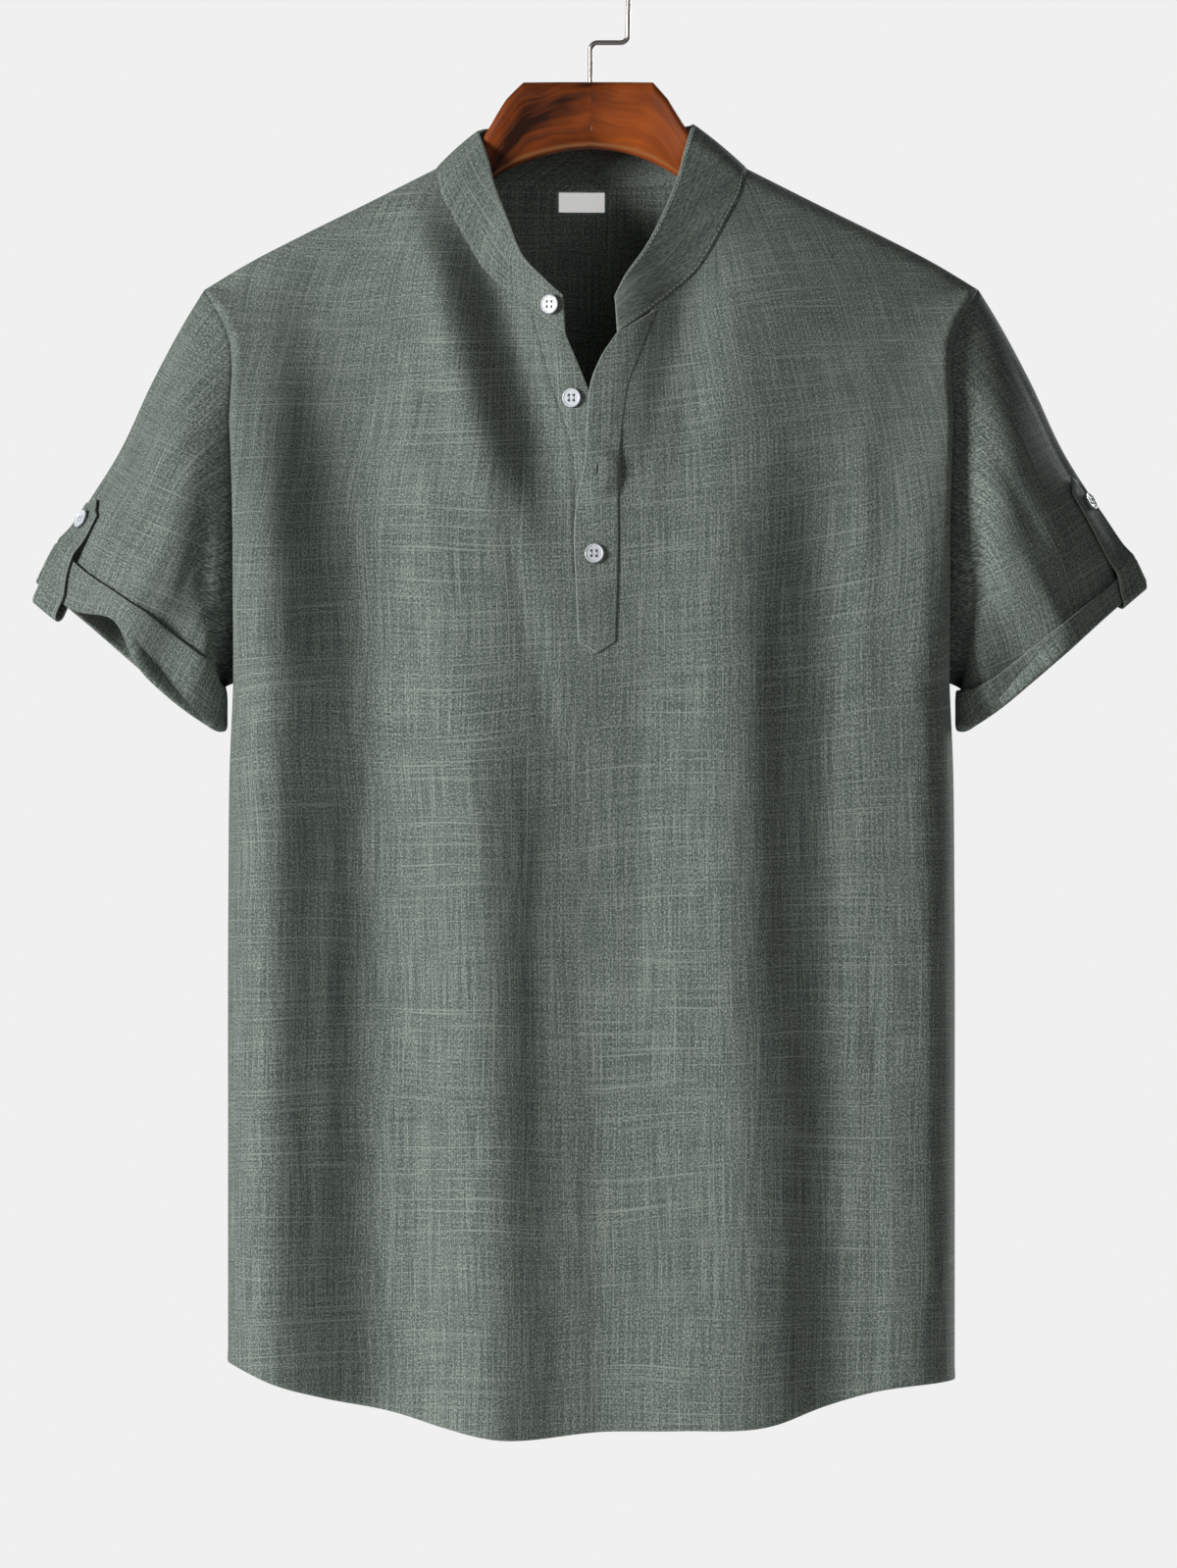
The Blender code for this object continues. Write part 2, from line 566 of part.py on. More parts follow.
def sleeve(side, color):
    """Sleeve with its cuff turned up on the outside, in one sheet."""
    ring = np.arange(2 * ARMHOLE_ROWS) / (2 * ARMHOLE_ROWS)
    height = CUFF[side][0]
    body = [sleeve_form(along, ring, side) for along in np.linspace(0, 1, SLEEVE_ROWS + 1)[:-1]]
    length = np.linalg.norm(sleeve_form(1.0, ring, side) - sleeve_form(0.0, ring, side), axis=-1)
    cut = np.minimum(1 - LIFT_LOST * edge_lift(ring, side) / height, CUFF_SHARE * length / height)
    cuff = [sleeve_point(up * np.where(up > 0, cut, 1), ring, out, side)
            for up, out in turned_edge(CUFF_TURN_R, 0.0, 0, height, 3)]
    rows = np.array(body + cuff)
    index = np.arange(rows.shape[0] * rows.shape[1]).reshape(rows.shape[:2])
    faces = grid_faces(index, closed=True)
    return Sheet(rows.reshape(-1, 3), faces if side < 0 else faces[:, ::-1], color)


def tab_path(side):
    """The tab's run: up inside the sleeve, round the cuff's edge, over the cuff and on to the sleeve."""
    clear = CLOTH + TAB_GAP
    over_cuff = 2 * CUFF_TURN_R + clear
    radius = (over_cuff + clear) / 2
    top = CUFF[side][0]
    path = turned_edge(radius, -clear, TAB_INSIDE, top + TAB_STEP[0][0], 3)
    path[path[:, 0] <= 0, 0] -= TAB_DROP[side]
    down = [(top + above, clear + share * (over_cuff - clear)) for above, share in TAB_STEP[1:]]
    flat = [(up, clear) for up in np.linspace(down[-1][0], TAB_TOP[side], 3)[1:]]
    return np.array(path.tolist() + down + flat)


def tab_middle(up, side):
    """Share of the ring where the tab's middle line is, `up` metres from the cuff's edge."""
    low, high = TAB_AROUND[side]
    return low + (high - low) * np.clip(up / TAB_TOP[side], 0, 1)


def tab_chord(up, out, side):
    """Distance between the two points TAB_PROBE to each side of the tab's middle line."""
    ends = sleeve_point(up, tab_middle(up, side) + np.array([-1, 1]) * TAB_PROBE, np.full(2, out), side)
    return np.linalg.norm(ends[1] - ends[0])


def tab(side, color):
    """Roll-up tab: a strip of even width with a pointed upper end."""
    path = tab_path(side)
    across = np.linspace(-1, 1, 5)
    rows = []
    for k, (up, out) in enumerate(path):
        point = TAB_POINT * (k == len(path) - 1)
        around = tab_middle(up, side) + across * TAB_PROBE * TAB_W / tab_chord(up, out, side)
        rows.append(sleeve_point(up - point * np.abs(across), around, np.full(5, out), side))
    rows = np.array(rows)
    index = np.arange(rows.shape[0] * rows.shape[1]).reshape(rows.shape[:2])
    faces = grid_faces(index)
    return Sheet(rows.reshape(-1, 3), faces if side > 0 else faces[:, ::-1], color, sewn=False)


# ---------------------------------------------------------------- collar, plackets and label


def band_side(side):
    """Seam points and upper edge points of the band, front corner to back middle, on one side."""
    offset = 2 if side < 0 else 4
    front_x, front_z = neck_line(NECK_FRONT, NECK_COLUMNS)
    back_x, back_z = neck_line(NECK_BACK, NECK_COLUMNS)
    corner = np.linspace(0, 1, 3)[:2, None] * (np.array([front_x[-1], front_z[-1]]) - NECK_CORNER)
    corner = corner + NECK_CORNER
    seam_front = np.concatenate([corner, np.stack([front_x, front_z], 1)[::-1]])
    seam_back = np.stack([back_x, back_z], 1)[1:]
    seam = np.concatenate([seam_front, seam_back])
    y = np.concatenate([torso_y(seam_front[:, 0] * side, seam_front[:, 1], True),
                        torso_y(seam_back[:, 0] * side, seam_back[:, 1], False)])
    y[len(seam_front) - 1] = 0.0
    low = stack(side * seam[:, 0], y, seam[:, 1])
    tops = []
    for table, z in ((BAND_TOP, seam_front[:, 1]), (BAND_TOP_BACK, None)):
        if z is not None:
            at = curve(column(table, 1), np.arange(len(table)), z)
        else:
            at = np.linspace(0, len(table) - 1, len(seam_back) + 1)[1:]
        stations = np.arange(len(table))
        tops.append(stack(side * curve(stations, column(table, offset), at),
                          curve(stations, column(table, 6), at),
                          curve(stations, column(table, offset + 1), at)))
    return low, np.concatenate(tops)


def collar_band(color):
    """Stand collar: from the seam up to its free edge, a little rounded."""
    sides = {side: band_side(side) for side in (-1, 1)}
    low = np.concatenate([sides[-1][0], sides[1][0][-2::-1]])
    top = np.concatenate([sides[-1][1], sides[1][1][-2::-1]])
    rows = np.array([low + (top - low) * share for share in BAND_ROWS])
    rows[1:-1, :, 2] += BAND_ROLL
    index = np.arange(rows.shape[0] * rows.shape[1]).reshape(rows.shape[:2])
    return Sheet(rows.reshape(-1, 3), grid_faces(index), color)


def strip_rows(table, stations, columns):
    """x, z of a placket strip's points at stations down its table."""
    at = np.arange(len(table))
    edge = [curve(at, column(table, k), stations)[:, None] for k in range(4)]
    share = np.linspace(0, 1, columns)[None, :]
    return edge[0] + (edge[2] - edge[0]) * share, edge[1] + (edge[3] - edge[1]) * share


def placket_under(color):
    """Lower strip: level with the front, sewn along the slit's right side (the wearer's)."""
    panel_edge = half_panel(-1, True)[:ARMHOLE_ROWS + 1, 0]
    left_z = panel_edge[:, 2]
    stations = curve([-h for h in column(PLACKET_UNDER, 1)], np.arange(len(PLACKET_UNDER)), -left_z)
    x, z = strip_rows(PLACKET_UNDER, stations, STRIP_COLUMNS)
    x[:, 0] = panel_edge[:, 0]
    z[:, 0] = left_z
    points = stack(x, torso_y(x, z, True), z)
    index = np.arange(x.size).reshape(x.shape)
    return Sheet(points.reshape(-1, 3), grid_faces(index), color)


def placket_top(color):
    """Upper strip: lies on the front, over the lower strip, with a point at its end."""
    x, z = strip_rows(PLACKET_TOP, np.linspace(0, len(PLACKET_TOP) - 1, STRIP_ROWS + 1), STRIP_COLUMNS + 1)
    across = np.linspace(-1, 1, STRIP_COLUMNS + 1)
    z[-1] -= PLACKET_POINT * (1 - np.abs(across))
    z[-2] -= 0.5 * PLACKET_POINT * (1 - np.abs(across))
    away = np.hypot(x - BUMP_AT[0], z - BUMP_AT[1])
    lift = CLOTH + LAY_GAP + BUMP_H * smooth((BUMP_R[1] - away) / (BUMP_R[1] - BUMP_R[0]))
    points = stack(x, torso_y(x, z, True) - lift, z)
    index = np.arange(x.size).reshape(x.shape)
    return Sheet(points.reshape(-1, 3), grid_faces(index), color, sewn=False)


def neck_label(color):
    """Blank label on the inside of the back, below the collar seam."""
    x = np.linspace(LABEL[0], LABEL[1], 4)[None, :]
    z = np.linspace(LABEL[2], LABEL[3], 3)[:, None]
    x, z = np.broadcast_arrays(x, z)
    points = stack(x, torso_y(x, z, False) - CLOTH - LAY_GAP, z)
    index = np.arange(x.size).reshape(x.shape)
    return Sheet(points.reshape(-1, 3), grid_faces(index), color, thickness=0.0010, sewn=False)


# ---------------------------------------------------------------- Blender objects


def material(name, color, roughness, metallic=0.0):
    made = bpy.data.materials.new(name)
    made.use_nodes = True
    shader = made.node_tree.nodes["Principled BSDF"]
    shader.inputs["Base Color"].default_value = (*color, 1.0)
    shader.inputs["Roughness"].default_value = roughness
    shader.inputs["Metallic"].default_value = metallic
    return made


def add_object(name, points, faces, color, roughness=0.9, metallic=0.0, smooth_angle=60):
    mesh = bpy.data.meshes.new(name)
    mesh.from_pydata([tuple(map(float, p)) for p in points], [], [tuple(map(int, f)) for f in faces])
    mesh.update()
    made = bpy.data.objects.new(name, mesh)
    bpy.context.scene.collection.objects.link(made)
    mesh.materials.append(material(name, color, roughness, metallic))
    mesh.shade_smooth()
    mesh.set_sharp_from_angle(angle=math.radians(smooth_angle))
    return made


def turned(profile, sides):
    """A solid of revolution about Z from (radius, height) points that run up its outside."""
    turn = np.linspace(0, 2 * math.pi, sides, endpoint=False)
    points = [(r * math.cos(a), r * math.sin(a), h) for r, h in profile for a in turn]
    faces = []
    for k in range(len(profile) - 1):
        for j in range(sides):
            n = (j + 1) % sides
            faces.append((k * sides + j, k * sides + n, (k + 1) * sides + n, (k + 1) * sides + j))
    faces.append(tuple(range(sides))[::-1])
    faces.append(tuple(range((len(profile) - 1) * sides, len(profile) * sides)))
    return points, faces


def button_mesh():
    """Round button with a raised rim and four holes, standing on z = 0; all buttons share this mesh."""
    profile = ((BUTTON_R - 0.0005, 0), (BUTTON_R, 0.0006), (BUTTON_R, BUTTON_T - 0.0004),
               (BUTTON_R - 0.0006, BUTTON_T), (BUTTON_R - 0.0014, BUTTON_T - 0.0004))
    whole = add_object("whole_button", *turned(profile, 18), BUTTON_COLOR, 0.25)
    pins = []
    for k, (sx, sy) in enumerate(((1, 1), (1, -1), (-1, -1), (-1, 1))):
        rod = ((BUTTON_HOLE_R, -0.001), (BUTTON_HOLE_R, BUTTON_T + 0.001))
        pin = add_object(f"pin_{k}", *turned(rod, 6), CUTTER_COLOR)
        pin.location = (sx * BUTTON_HOLE_AT, sy * BUTTON_HOLE_AT, 0)
        cut = whole.modifiers.new(f"hole_{k}", "BOOLEAN")
        cut.operation = "DIFFERENCE"
        cut.solver = "EXACT"
        cut.object = pin
        pins.append(pin)
    bpy.context.view_layer.update()
    cut_button = whole.evaluated_get(bpy.context.evaluated_depsgraph_get())
    mesh = bpy.data.meshes.new_from_object(cut_button)
    plain = bmesh.new()
    plain.from_mesh(mesh)
    bmesh.ops.remove_doubles(plain, verts=plain.verts, dist=1e-6)
    bmesh.ops.triangulate(plain, faces=plain.faces)
    plain.to_mesh(mesh)
    plain.free()
    for used in [whole, *pins]:
        bpy.data.objects.remove(used, do_unlink=True)
    return mesh


def place_button(mesh, name, at, outward):
    """Set a button with its back at a point, facing outward."""
    z_axis = Vector(outward).normalized()
    x_axis = Vector((0, 0, 1)).cross(z_axis).normalized()
    y_axis = z_axis.cross(x_axis)
    made = bpy.data.objects.new(name, mesh)
    bpy.context.scene.collection.objects.link(made)
    turn = Matrix((x_axis, y_axis, z_axis)).transposed()
    made.rotation_euler = turn.to_euler()
    made.location = Vector(at)
    return made


def on_front(x, z, lift):
    """A point `lift` off the front at x, z, and the front's outward direction there."""
    step = 0.004
    slope_x = (torso_y(x + step, z, True) - torso_y(x - step, z, True)) / (2 * step)
    slope_z = (torso_y(x, z + step, True) - torso_y(x, z - step, True)) / (2 * step)
    outward = np.array([float(slope_x), -1.0, float(slope_z)])
    outward /= np.linalg.norm(outward)
    return np.array([x, float(torso_y(x, z, True)), z]) + outward * lift, outward


# ---------------------------------------------------------------- hanger and hook


def hanger_half(name, side, color):
    """One wooden half: rounded sections along the profile, flat at the glued joint."""
    at = np.linspace(0, 1, WOOD_SECTIONS)
    x = SEAM_GAP / 2 + at * (HANGER[-1][0] - SEAM_GAP / 2)
    step = NECK_STEP[side] * np.exp(-((x - NECK_STEP_X) / NECK_STEP_W) ** 2)
    xs = column(HANGER, 0)
    top = np.interp(x, xs, column(HANGER, 1))
    low = curve(xs, column(HANGER, 2), x)
    thick = curve(xs, column(HANGER, 3), x)
    turn = np.linspace(0, 2 * math.pi, WOOD_SIDES, endpoint=False)
    run_out = smooth((x - EDGE_ROUND_X[0]) / (EDGE_ROUND_X[1] - EDGE_ROUND_X[0]))
    edge = EDGE_ROUND[0] + (EDGE_ROUND[1] - EDGE_ROUND[0]) * run_out
    points = []
    for k in range(WOOD_SECTIONS):
        middle, half = (top[k] + low[k]) / 2, (top[k] - low[k]) / 2
        round_y = np.sign(np.sin(turn)) * np.abs(np.sin(turn)) ** edge[k]
        round_z = np.sign(np.cos(turn)) * np.abs(np.cos(turn)) ** edge[k]
        across = side * (x[k] + step[k])
        points += [(across, -thick[k] * y, middle + half * z) for y, z in zip(round_y, round_z)]
    index = np.arange(WOOD_SECTIONS * WOOD_SIDES).reshape(WOOD_SECTIONS, WOOD_SIDES)
    faces = grid_faces(index, closed=True)
    faces = (faces if side > 0 else faces[:, ::-1]).tolist()
    first, last = index[0].tolist(), index[-1].tolist()
    faces.append(first if side > 0 else first[::-1])
    faces.append(last[::-1] if side > 0 else last)
    made = add_object(name, points, faces, color, 0.35)
    bore = add_object(name + "_bore", *turned([(BORE_R, z) for z in BORE_Z], 12), CUTTER_COLOR)
    bore.location.x = HOOK_SHANK_X
    bore.hide_render = True
    bore.display_type = "WIRE"
    cut = made.modifiers.new("bore", "BOOLEAN")
    cut.operation = "DIFFERENCE"
    cut.solver = "EXACT"
    cut.object = bore
    return made


def arc(centre, radius, start, end, count):
    """Points of an arc in the XZ plane, angles in degrees from +X."""
    turn = np.radians(np.linspace(start, end, count))
    return [(centre[0] + radius * math.cos(a), centre[1] + radius * math.sin(a)) for a in turn]


def hook_path():
    """Centre line of the wire, from the bore up to the open end."""
    corner = HOOK_CORNER_R
    path = [(HOOK_SHANK_X, SHANK_LOW_Z), (HOOK_SHANK_X, HANGER[0][1])]
    path += arc((HOOK_SHANK_X + corner, HOOK_KINK_Z - corner), corner, 180, 90, 5)
    path += arc((HOOK_R + HOOK_SHANK_X - corner, HOOK_KINK_Z + corner), corner, -90, 0, 5)
    path += arc((0.0, WIRE_R - HOOK_R), HOOK_R, 0, HOOK_END_ANGLE, 20)
    return [(x, 0.0, z) for x, z in path]


def tube(path, radius, sides):
    """A round wire along a flat path, with closed ends."""
    path = np.array(path)
    ahead = np.gradient(path, axis=0)
    ahead /= np.linalg.norm(ahead, axis=1, keepdims=True)
    side_way = np.stack([-ahead[:, 2], ahead[:, 1] * 0, ahead[:, 0]], 1)
    turn = np.linspace(0, 2 * math.pi, sides, endpoint=False)
    points = [p + radius * (math.cos(a) * s + math.sin(a) * np.array([0, 1, 0]))
              for p, s in zip(path, side_way) for a in turn]
    index = np.arange(len(path) * sides).reshape(len(path), sides)
    faces = grid_faces(index, closed=True).tolist()
    faces += [index[0].tolist(), index[-1, ::-1].tolist()]
    return points, faces


# ---------------------------------------------------------------- build

CLOTH_COLOR = (0.112, 0.133, 0.117)
DARK_CLOTH = (0.095, 0.114, 0.100)
LABEL_COLOR = (0.58, 0.58, 0.57)
BUTTON_COLOR = (0.86, 0.87, 0.89)
WOOD_COLOR = {-1: (0.13, 0.028, 0.011), +1: (0.26, 0.068, 0.022)}
WIRE_COLOR = (0.62, 0.61, 0.58)
CUTTER_COLOR = (0.5, 0.5, 0.5)


def build():
    for old in list(bpy.data.objects):
        bpy.data.objects.remove(old, do_unlink=True)

    sheets = {
        "front": panel(True, CLOTH_COLOR),
        "back": panel(False, CLOTH_COLOR),
        "sleeve_right": sleeve(-1, CLOTH_COLOR),
        "sleeve_left": sleeve(+1, CLOTH_COLOR),
        "collar_band": collar_band(DARK_CLOTH),
        "placket_under": placket_under(DARK_CLOTH),
        "placket_top": placket_top(DARK_CLOTH),
        "tab_right": tab(-1, DARK_CLOTH),
        "tab_left": tab(+1, DARK_CLOTH),
        "neck_label": neck_label(LABEL_COLOR),
    }
    sewn = [sheet for sheet in sheets.values() if sheet.sewn]
    share_seam_normals(sewn)
    for sheet in sewn:
        sheet.pull_in_rim()
    for name, sheet in sheets.items():
        add_object(name, *sheet.wall(), sheet.color)

    buttons = button_mesh()
    seat = CLOTH / 2 + SEAM_GAP
    place_button(buttons, "button_placket_1", *on_front(*OPEN_BUTTON, seat))
    place_button(buttons, "button_placket_2", *on_front(*BUMP_AT, seat))
    place_button(buttons, "button_placket_3", *on_front(*FASTENED_BUTTON, seat + CLOTH + LAY_GAP))
    for name, side in (("button_tab_right", -1), ("button_tab_left", +1)):
        around = tab_middle(TAB_BUTTON[side], side)
        low = sleeve_point(TAB_BUTTON[side], around, CLOTH + TAB_GAP, side)
        high = sleeve_point(TAB_BUTTON[side], around, CLOTH + TAB_GAP + 0.01, side)
        outward = (high - low) / np.linalg.norm(high - low)
        place_button(buttons, name, low + outward * (seat + CURVED_LIFT), outward)
    band_low, band_top = band_side(-1)
    middle = (band_low[1] + band_top[1]) / 2
    along = band_low[2] - band_low[0]
    outward = np.cross(band_top[1] - band_low[1], along)
    outward *= np.sign(-outward[1]) / np.linalg.norm(outward)
    place_button(buttons, "button_collar", middle + outward * (seat + CURVED_LIFT), outward)

    hanger_half("hanger_right", -1, WOOD_COLOR[-1])
    hanger_half("hanger_left", +1, WOOD_COLOR[+1])
    add_object("hook", *tube(hook_path(), WIRE_R, 8), WIRE_COLOR, 0.2, 1.0)


build()
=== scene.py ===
"""Henley shirt on a wooden hanger: cloth, buttons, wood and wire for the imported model.

Frame: metres, +Z up, origin inside the hook's bend. The shirt faces -Y, so +X is the wearer's left.
Each cut piece of cloth is a grid of points on the garment's form, with a wall along its normals and a UV
map that holds the flat cut in metres (u across, v up). The weave and its slubs read that map.
"""
import math

import bpy
import numpy as np
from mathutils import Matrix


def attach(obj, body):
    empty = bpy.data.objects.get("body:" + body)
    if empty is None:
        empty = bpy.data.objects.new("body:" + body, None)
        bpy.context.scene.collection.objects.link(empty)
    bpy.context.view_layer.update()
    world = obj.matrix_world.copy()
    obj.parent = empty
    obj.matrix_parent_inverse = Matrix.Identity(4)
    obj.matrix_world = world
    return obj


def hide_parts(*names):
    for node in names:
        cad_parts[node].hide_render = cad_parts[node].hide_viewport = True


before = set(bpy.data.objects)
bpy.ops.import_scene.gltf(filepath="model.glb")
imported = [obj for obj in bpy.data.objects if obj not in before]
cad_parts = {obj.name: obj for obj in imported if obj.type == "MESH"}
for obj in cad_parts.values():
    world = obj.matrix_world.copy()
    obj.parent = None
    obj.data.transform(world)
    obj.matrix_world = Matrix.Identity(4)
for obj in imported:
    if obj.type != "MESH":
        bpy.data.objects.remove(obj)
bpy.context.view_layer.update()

# ---------------------------------------------------------------- the shirt's sizes
CLOTH = 0.0012            # wall of the solids' cloth
LAY_GAP = 0.0008          # under a piece that lies on another
THIN = 0.0008             # one layer as it is shown
DOUBLE = 0.0012           # two layers sewn together, at hems and in the band
LABEL_THICK = 0.0006
SEWN_RIM = 0.18           # bulge of a wall's rim, as a share of its thickness, where it is sewn on
FREE_RIM = 0.45           # and where it is free
# Folded edges are painted with pale yarn: partly wear, partly a painted highlight where the fold catches the
# light.
WORN_LIT_HEM = 0.6            # how worn and lit each folded edge is, 0 to 1: pale yarn for wear and a painted highlight
WORN_LIT_CUFF = 0.8
WORN_LIT_STRIP = 0.8
WORN_LIT_BAND = 0.9
TINY = 1e-9               # keeps a division by a length of nothing at nothing

UNDERARM_Z = -0.4240
SLIT_END_Z = -0.3620      # lower end of the placket's slit
CENTRE_X = 0.0015         # where the front's two halves meet
ARM_ROUND = 0.011         # depth of the rounding over the arm
ARM_ROUND_H = 0.009       # and its height
SHOULDER_FALL = 0.045     # the body fills out over this height below the shoulder
ARMHOLE_FRONT = 0.042     # how far the armhole reaches forward
ARMHOLE_BACK = 0.054      # and back
ARMHOLE_FADE = 0.018      # in from the side, its reach is lost over this width

ARMHOLE_ROWS = 92
BODY_ROWS = 104
SHOULDER_COLUMNS = 50
NECK_COLUMNS = 40
BAND_CORNER = 10          # columns of the band's square front end
NECK_CROWD = 1.3          # power that crowds the neckline's points towards the shoulder
BOTTOM_SPACING_BY = 0.87  # share of the armhole's height where the hem's spacing is reached

SHOULDER = (  # |x|, z
    (0.0905, -0.1240),
    (0.1337, -0.1457),
    (0.1687, -0.1630),
    (0.2019, -0.1803),
    (0.2262, -0.1950),
)
NECK_POINT, SHOULDER_TIP = SHOULDER[0], SHOULDER[-1]
SHOULDER_SLOPE = 0.50     # of the guide line inside the neck

TORSO = (  # z, half_width, front_depth, back_depth, squareness
    (-0.1240, 0.2262, 0.046, 0.045, 1.10),
    (-0.1950, 0.2262, 0.056, 0.052, 0.80),
    (-0.2140, 0.2150, 0.060, 0.056, 0.60),
    (-0.2770, 0.2106, 0.068, 0.062, 0.36),
    (-0.3570, 0.2085, 0.073, 0.064, 0.29),
    (-0.4240, 0.2085, 0.076, 0.064, 0.26),
    (-0.4700, 0.2104, 0.078, 0.063, 0.25),
    (-0.5500, 0.2113, 0.080, 0.062, 0.26),
    (-0.7000, 0.2115, 0.082, 0.063, 0.28),
    (-0.8650, 0.2115, 0.084, 0.066, 0.30),
)
HEM_HALF_WIDTH = 0.2115
HEM_FRONT = (  # x, z
    (-0.2115, -0.8199),
    (-0.1830, -0.8325),
    (-0.1555, -0.8400),
    (-0.1140, -0.8486),
    (-0.0866, -0.8566),
    (-0.0591, -0.8629),
    (+0.0098, -0.8589),
    (+0.0511, -0.8583),
    (+0.1061, -0.8549),
    (+0.1337, -0.8451),
    (+0.1612, -0.8371),
    (+0.2115, -0.8302),
)
HEM_BACK = (  # x, z
    (-0.2115, -0.8199),
    (-0.1500, -0.8369),
    (-0.0700, -0.8539),
    (+0.0700, -0.8539),
    (+0.1500, -0.8409),
    (+0.2115, -0.8302),
)
NECK_FRONT = (  # |x|, z
    (0.0905, -0.1240),
    (0.0878, -0.1385),
    (0.0812, -0.1520),
    (0.0690, -0.1745),
    (0.0585, -0.1885),
    (0.0345, -0.2080),
)
NECK_CORNER = (0.0149, -0.2223)
NECK_BACK = (  # |x|, z
    (0.0905, -0.1240),
    (0.0780, -0.1305),
    (0.0550, -0.1335),
    (0.0000, -0.1345),
)

FOLD_IN = 0.3             # share of a fold's length over which it fades in
FOLD_OUT = 0.4            # and out, where the table says that it fades
FOLD_START = 0.020        # below the shoulder all folds start over this height
FOLD_SIDE_POWER = 16      # how sharply they end at the sides
FRONT_FOLDS = (  # x_top, z_top, x_low, z_low, half_width, height, fades
    (-0.1930, -0.1300, -0.1900, -0.8700, 0.022, +0.0080, 0),    # by the wearer's right side
    (-0.1360, -0.1100, -0.1140, -0.8700, 0.038, -0.0180, 0),
    (-0.0740, -0.3600, -0.0580, -0.8700, 0.032, +0.0110, 0),
    (-0.0060, -0.4000, +0.0010, -0.8700, 0.040, -0.0060, 0),
    (+0.0780, -0.2000, +0.0930, -0.8700, 0.036, +0.0115, 0),
    (+0.1260, -0.2000, +0.1400, -0.8700, 0.024, -0.0080, 0),
    (+0.2080, -0.1600, +0.2140, -0.8700, 0.027, +0.0095, 0),    # by the wearer's left side
    (-0.1650, -0.1300, -0.1560, -0.4200, 0.020, -0.0040, 1),
    (-0.0990, -0.1300, -0.0400, -0.3700, 0.018, +0.0070, 1),    # pull from the collar to the buttons
    (-0.0640, -0.1400, -0.0010, -0.3700, 0.016, -0.0095, 1),
    (+0.0600, -0.1500, +0.0420, -0.3300, 0.020, -0.0085, 1),
)
BACK_FOLDS = (  # x_top, z_top, x_low, z_low, half_width, height, fades
    (-0.1500, -0.2800, -0.1560, -0.8700, 0.028, +0.0090, 0),
    (-0.0900, -0.2300, -0.0840, -0.8700, 0.024, -0.0070, 0),
    (-0.0200, -0.3000, -0.0100, -0.8700, 0.030, +0.0100, 0),
    (+0.0700, -0.2400, +0.0780, -0.8700, 0.026, -0.0080, 0),
    (+0.1380, -0.3100, +0.1450, -0.8700, 0.027, +0.0100, 0),
)
RUMPLE = (  # height, and two slanted waves: radians per metre of x, of z, and at the origin
    (0.0010, (41, 13, 0.7), (-9, 19, 1.9)),
    (0.0006, (73, -21, 2.6), (17, 33, 0.4)),
)
# Finer creases, which only the looks carry.
FRONT_CREASES = (  # x_top, z_top, x_low, z_low, half_width, height, fades
    (-0.2000, -0.3000, -0.2030, -0.6400, 0.0060, -0.0016, 1),
    (-0.1960, -0.5200, -0.1900, -0.8700, 0.0070, +0.0012, 0),
    (-0.1920, -0.1600, -0.1920, -0.8700, 0.0220, +0.0035, 0),
    (-0.1320, -0.1600, -0.1270, -0.8700, 0.0300, -0.0048, 0),
    (-0.1180, -0.0900, -0.0560, -0.3500, 0.0130, +0.0062, 1),
    (-0.0860, -0.0900, -0.0130, -0.4000, 0.0140, -0.0056, 1),
    (-0.1500, -0.4600, -0.1560, -0.8200, 0.0075, +0.0011, 1),
    (-0.1080, -0.2100, -0.0800, -0.4600, 0.0090, +0.0020, 1),
    (-0.1050, -0.5600, -0.0960, -0.8700, 0.0080, -0.0012, 0),
    (-0.0560, -0.2900, -0.0180, -0.4900, 0.0080, -0.0020, 1),
    (-0.0300, -0.4500, -0.0340, -0.7900, 0.0085, -0.0014, 1),
    (-0.0120, -0.5900, -0.0060, -0.8700, 0.0080, +0.0011, 0),
    (+0.0300, -0.3900, +0.0260, -0.6700, 0.0080, -0.0013, 1),
    (+0.0480, -0.5000, +0.0520, -0.8600, 0.0080, +0.0010, 1),
    (+0.0560, -0.2300, +0.0280, -0.3500, 0.0070, +0.0014, 1),
    (+0.1060, -0.3400, +0.1150, -0.6800, 0.0085, -0.0018, 1),
    (+0.1160, -0.5600, +0.1120, -0.8700, 0.0075, +0.0012, 0),
    (+0.1600, -0.2300, +0.1560, -0.4900, 0.0080, +0.0014, 1),
    (+0.1630, -0.5200, +0.1650, -0.8700, 0.0065, -0.0011, 0),
    (+0.2010, -0.2700, +0.2030, -0.5400, 0.0060, -0.0018, 1),
    (+0.1960, -0.5000, +0.2000, -0.8500, 0.0060, +0.0010, 1),
)
BACK_CREASES = (  # x_top, z_top, x_low, z_low, half_width, height, fades
    (-0.1960, -0.3000, -0.1990, -0.7000, 0.0070, -0.0016, 1),
    (-0.1210, -0.2600, -0.1250, -0.6100, 0.0085, +0.0015, 1),
    (-0.1160, -0.5400, -0.1130, -0.8700, 0.0080, -0.0012, 0),
    (-0.0540, -0.2100, -0.0490, -0.5300, 0.0085, +0.0014, 1),
    (-0.0480, -0.4800, -0.0540, -0.8700, 0.0080, -0.0014, 0),
    (+0.0240, -0.2600, +0.0310, -0.6200, 0.0085, -0.0015, 1),
    (+0.0330, -0.5700, +0.0360, -0.8700, 0.0080, +0.0012, 0),
    (+0.1040, -0.2500, +0.1090, -0.5800, 0.0085, +0.0015, 1),
    (+0.1120, -0.5200, +0.1060, -0.8600, 0.0080, -0.0012, 1),
    (+0.1800, -0.3100, +0.1850, -0.7200, 0.0070, -0.0015, 1),
)

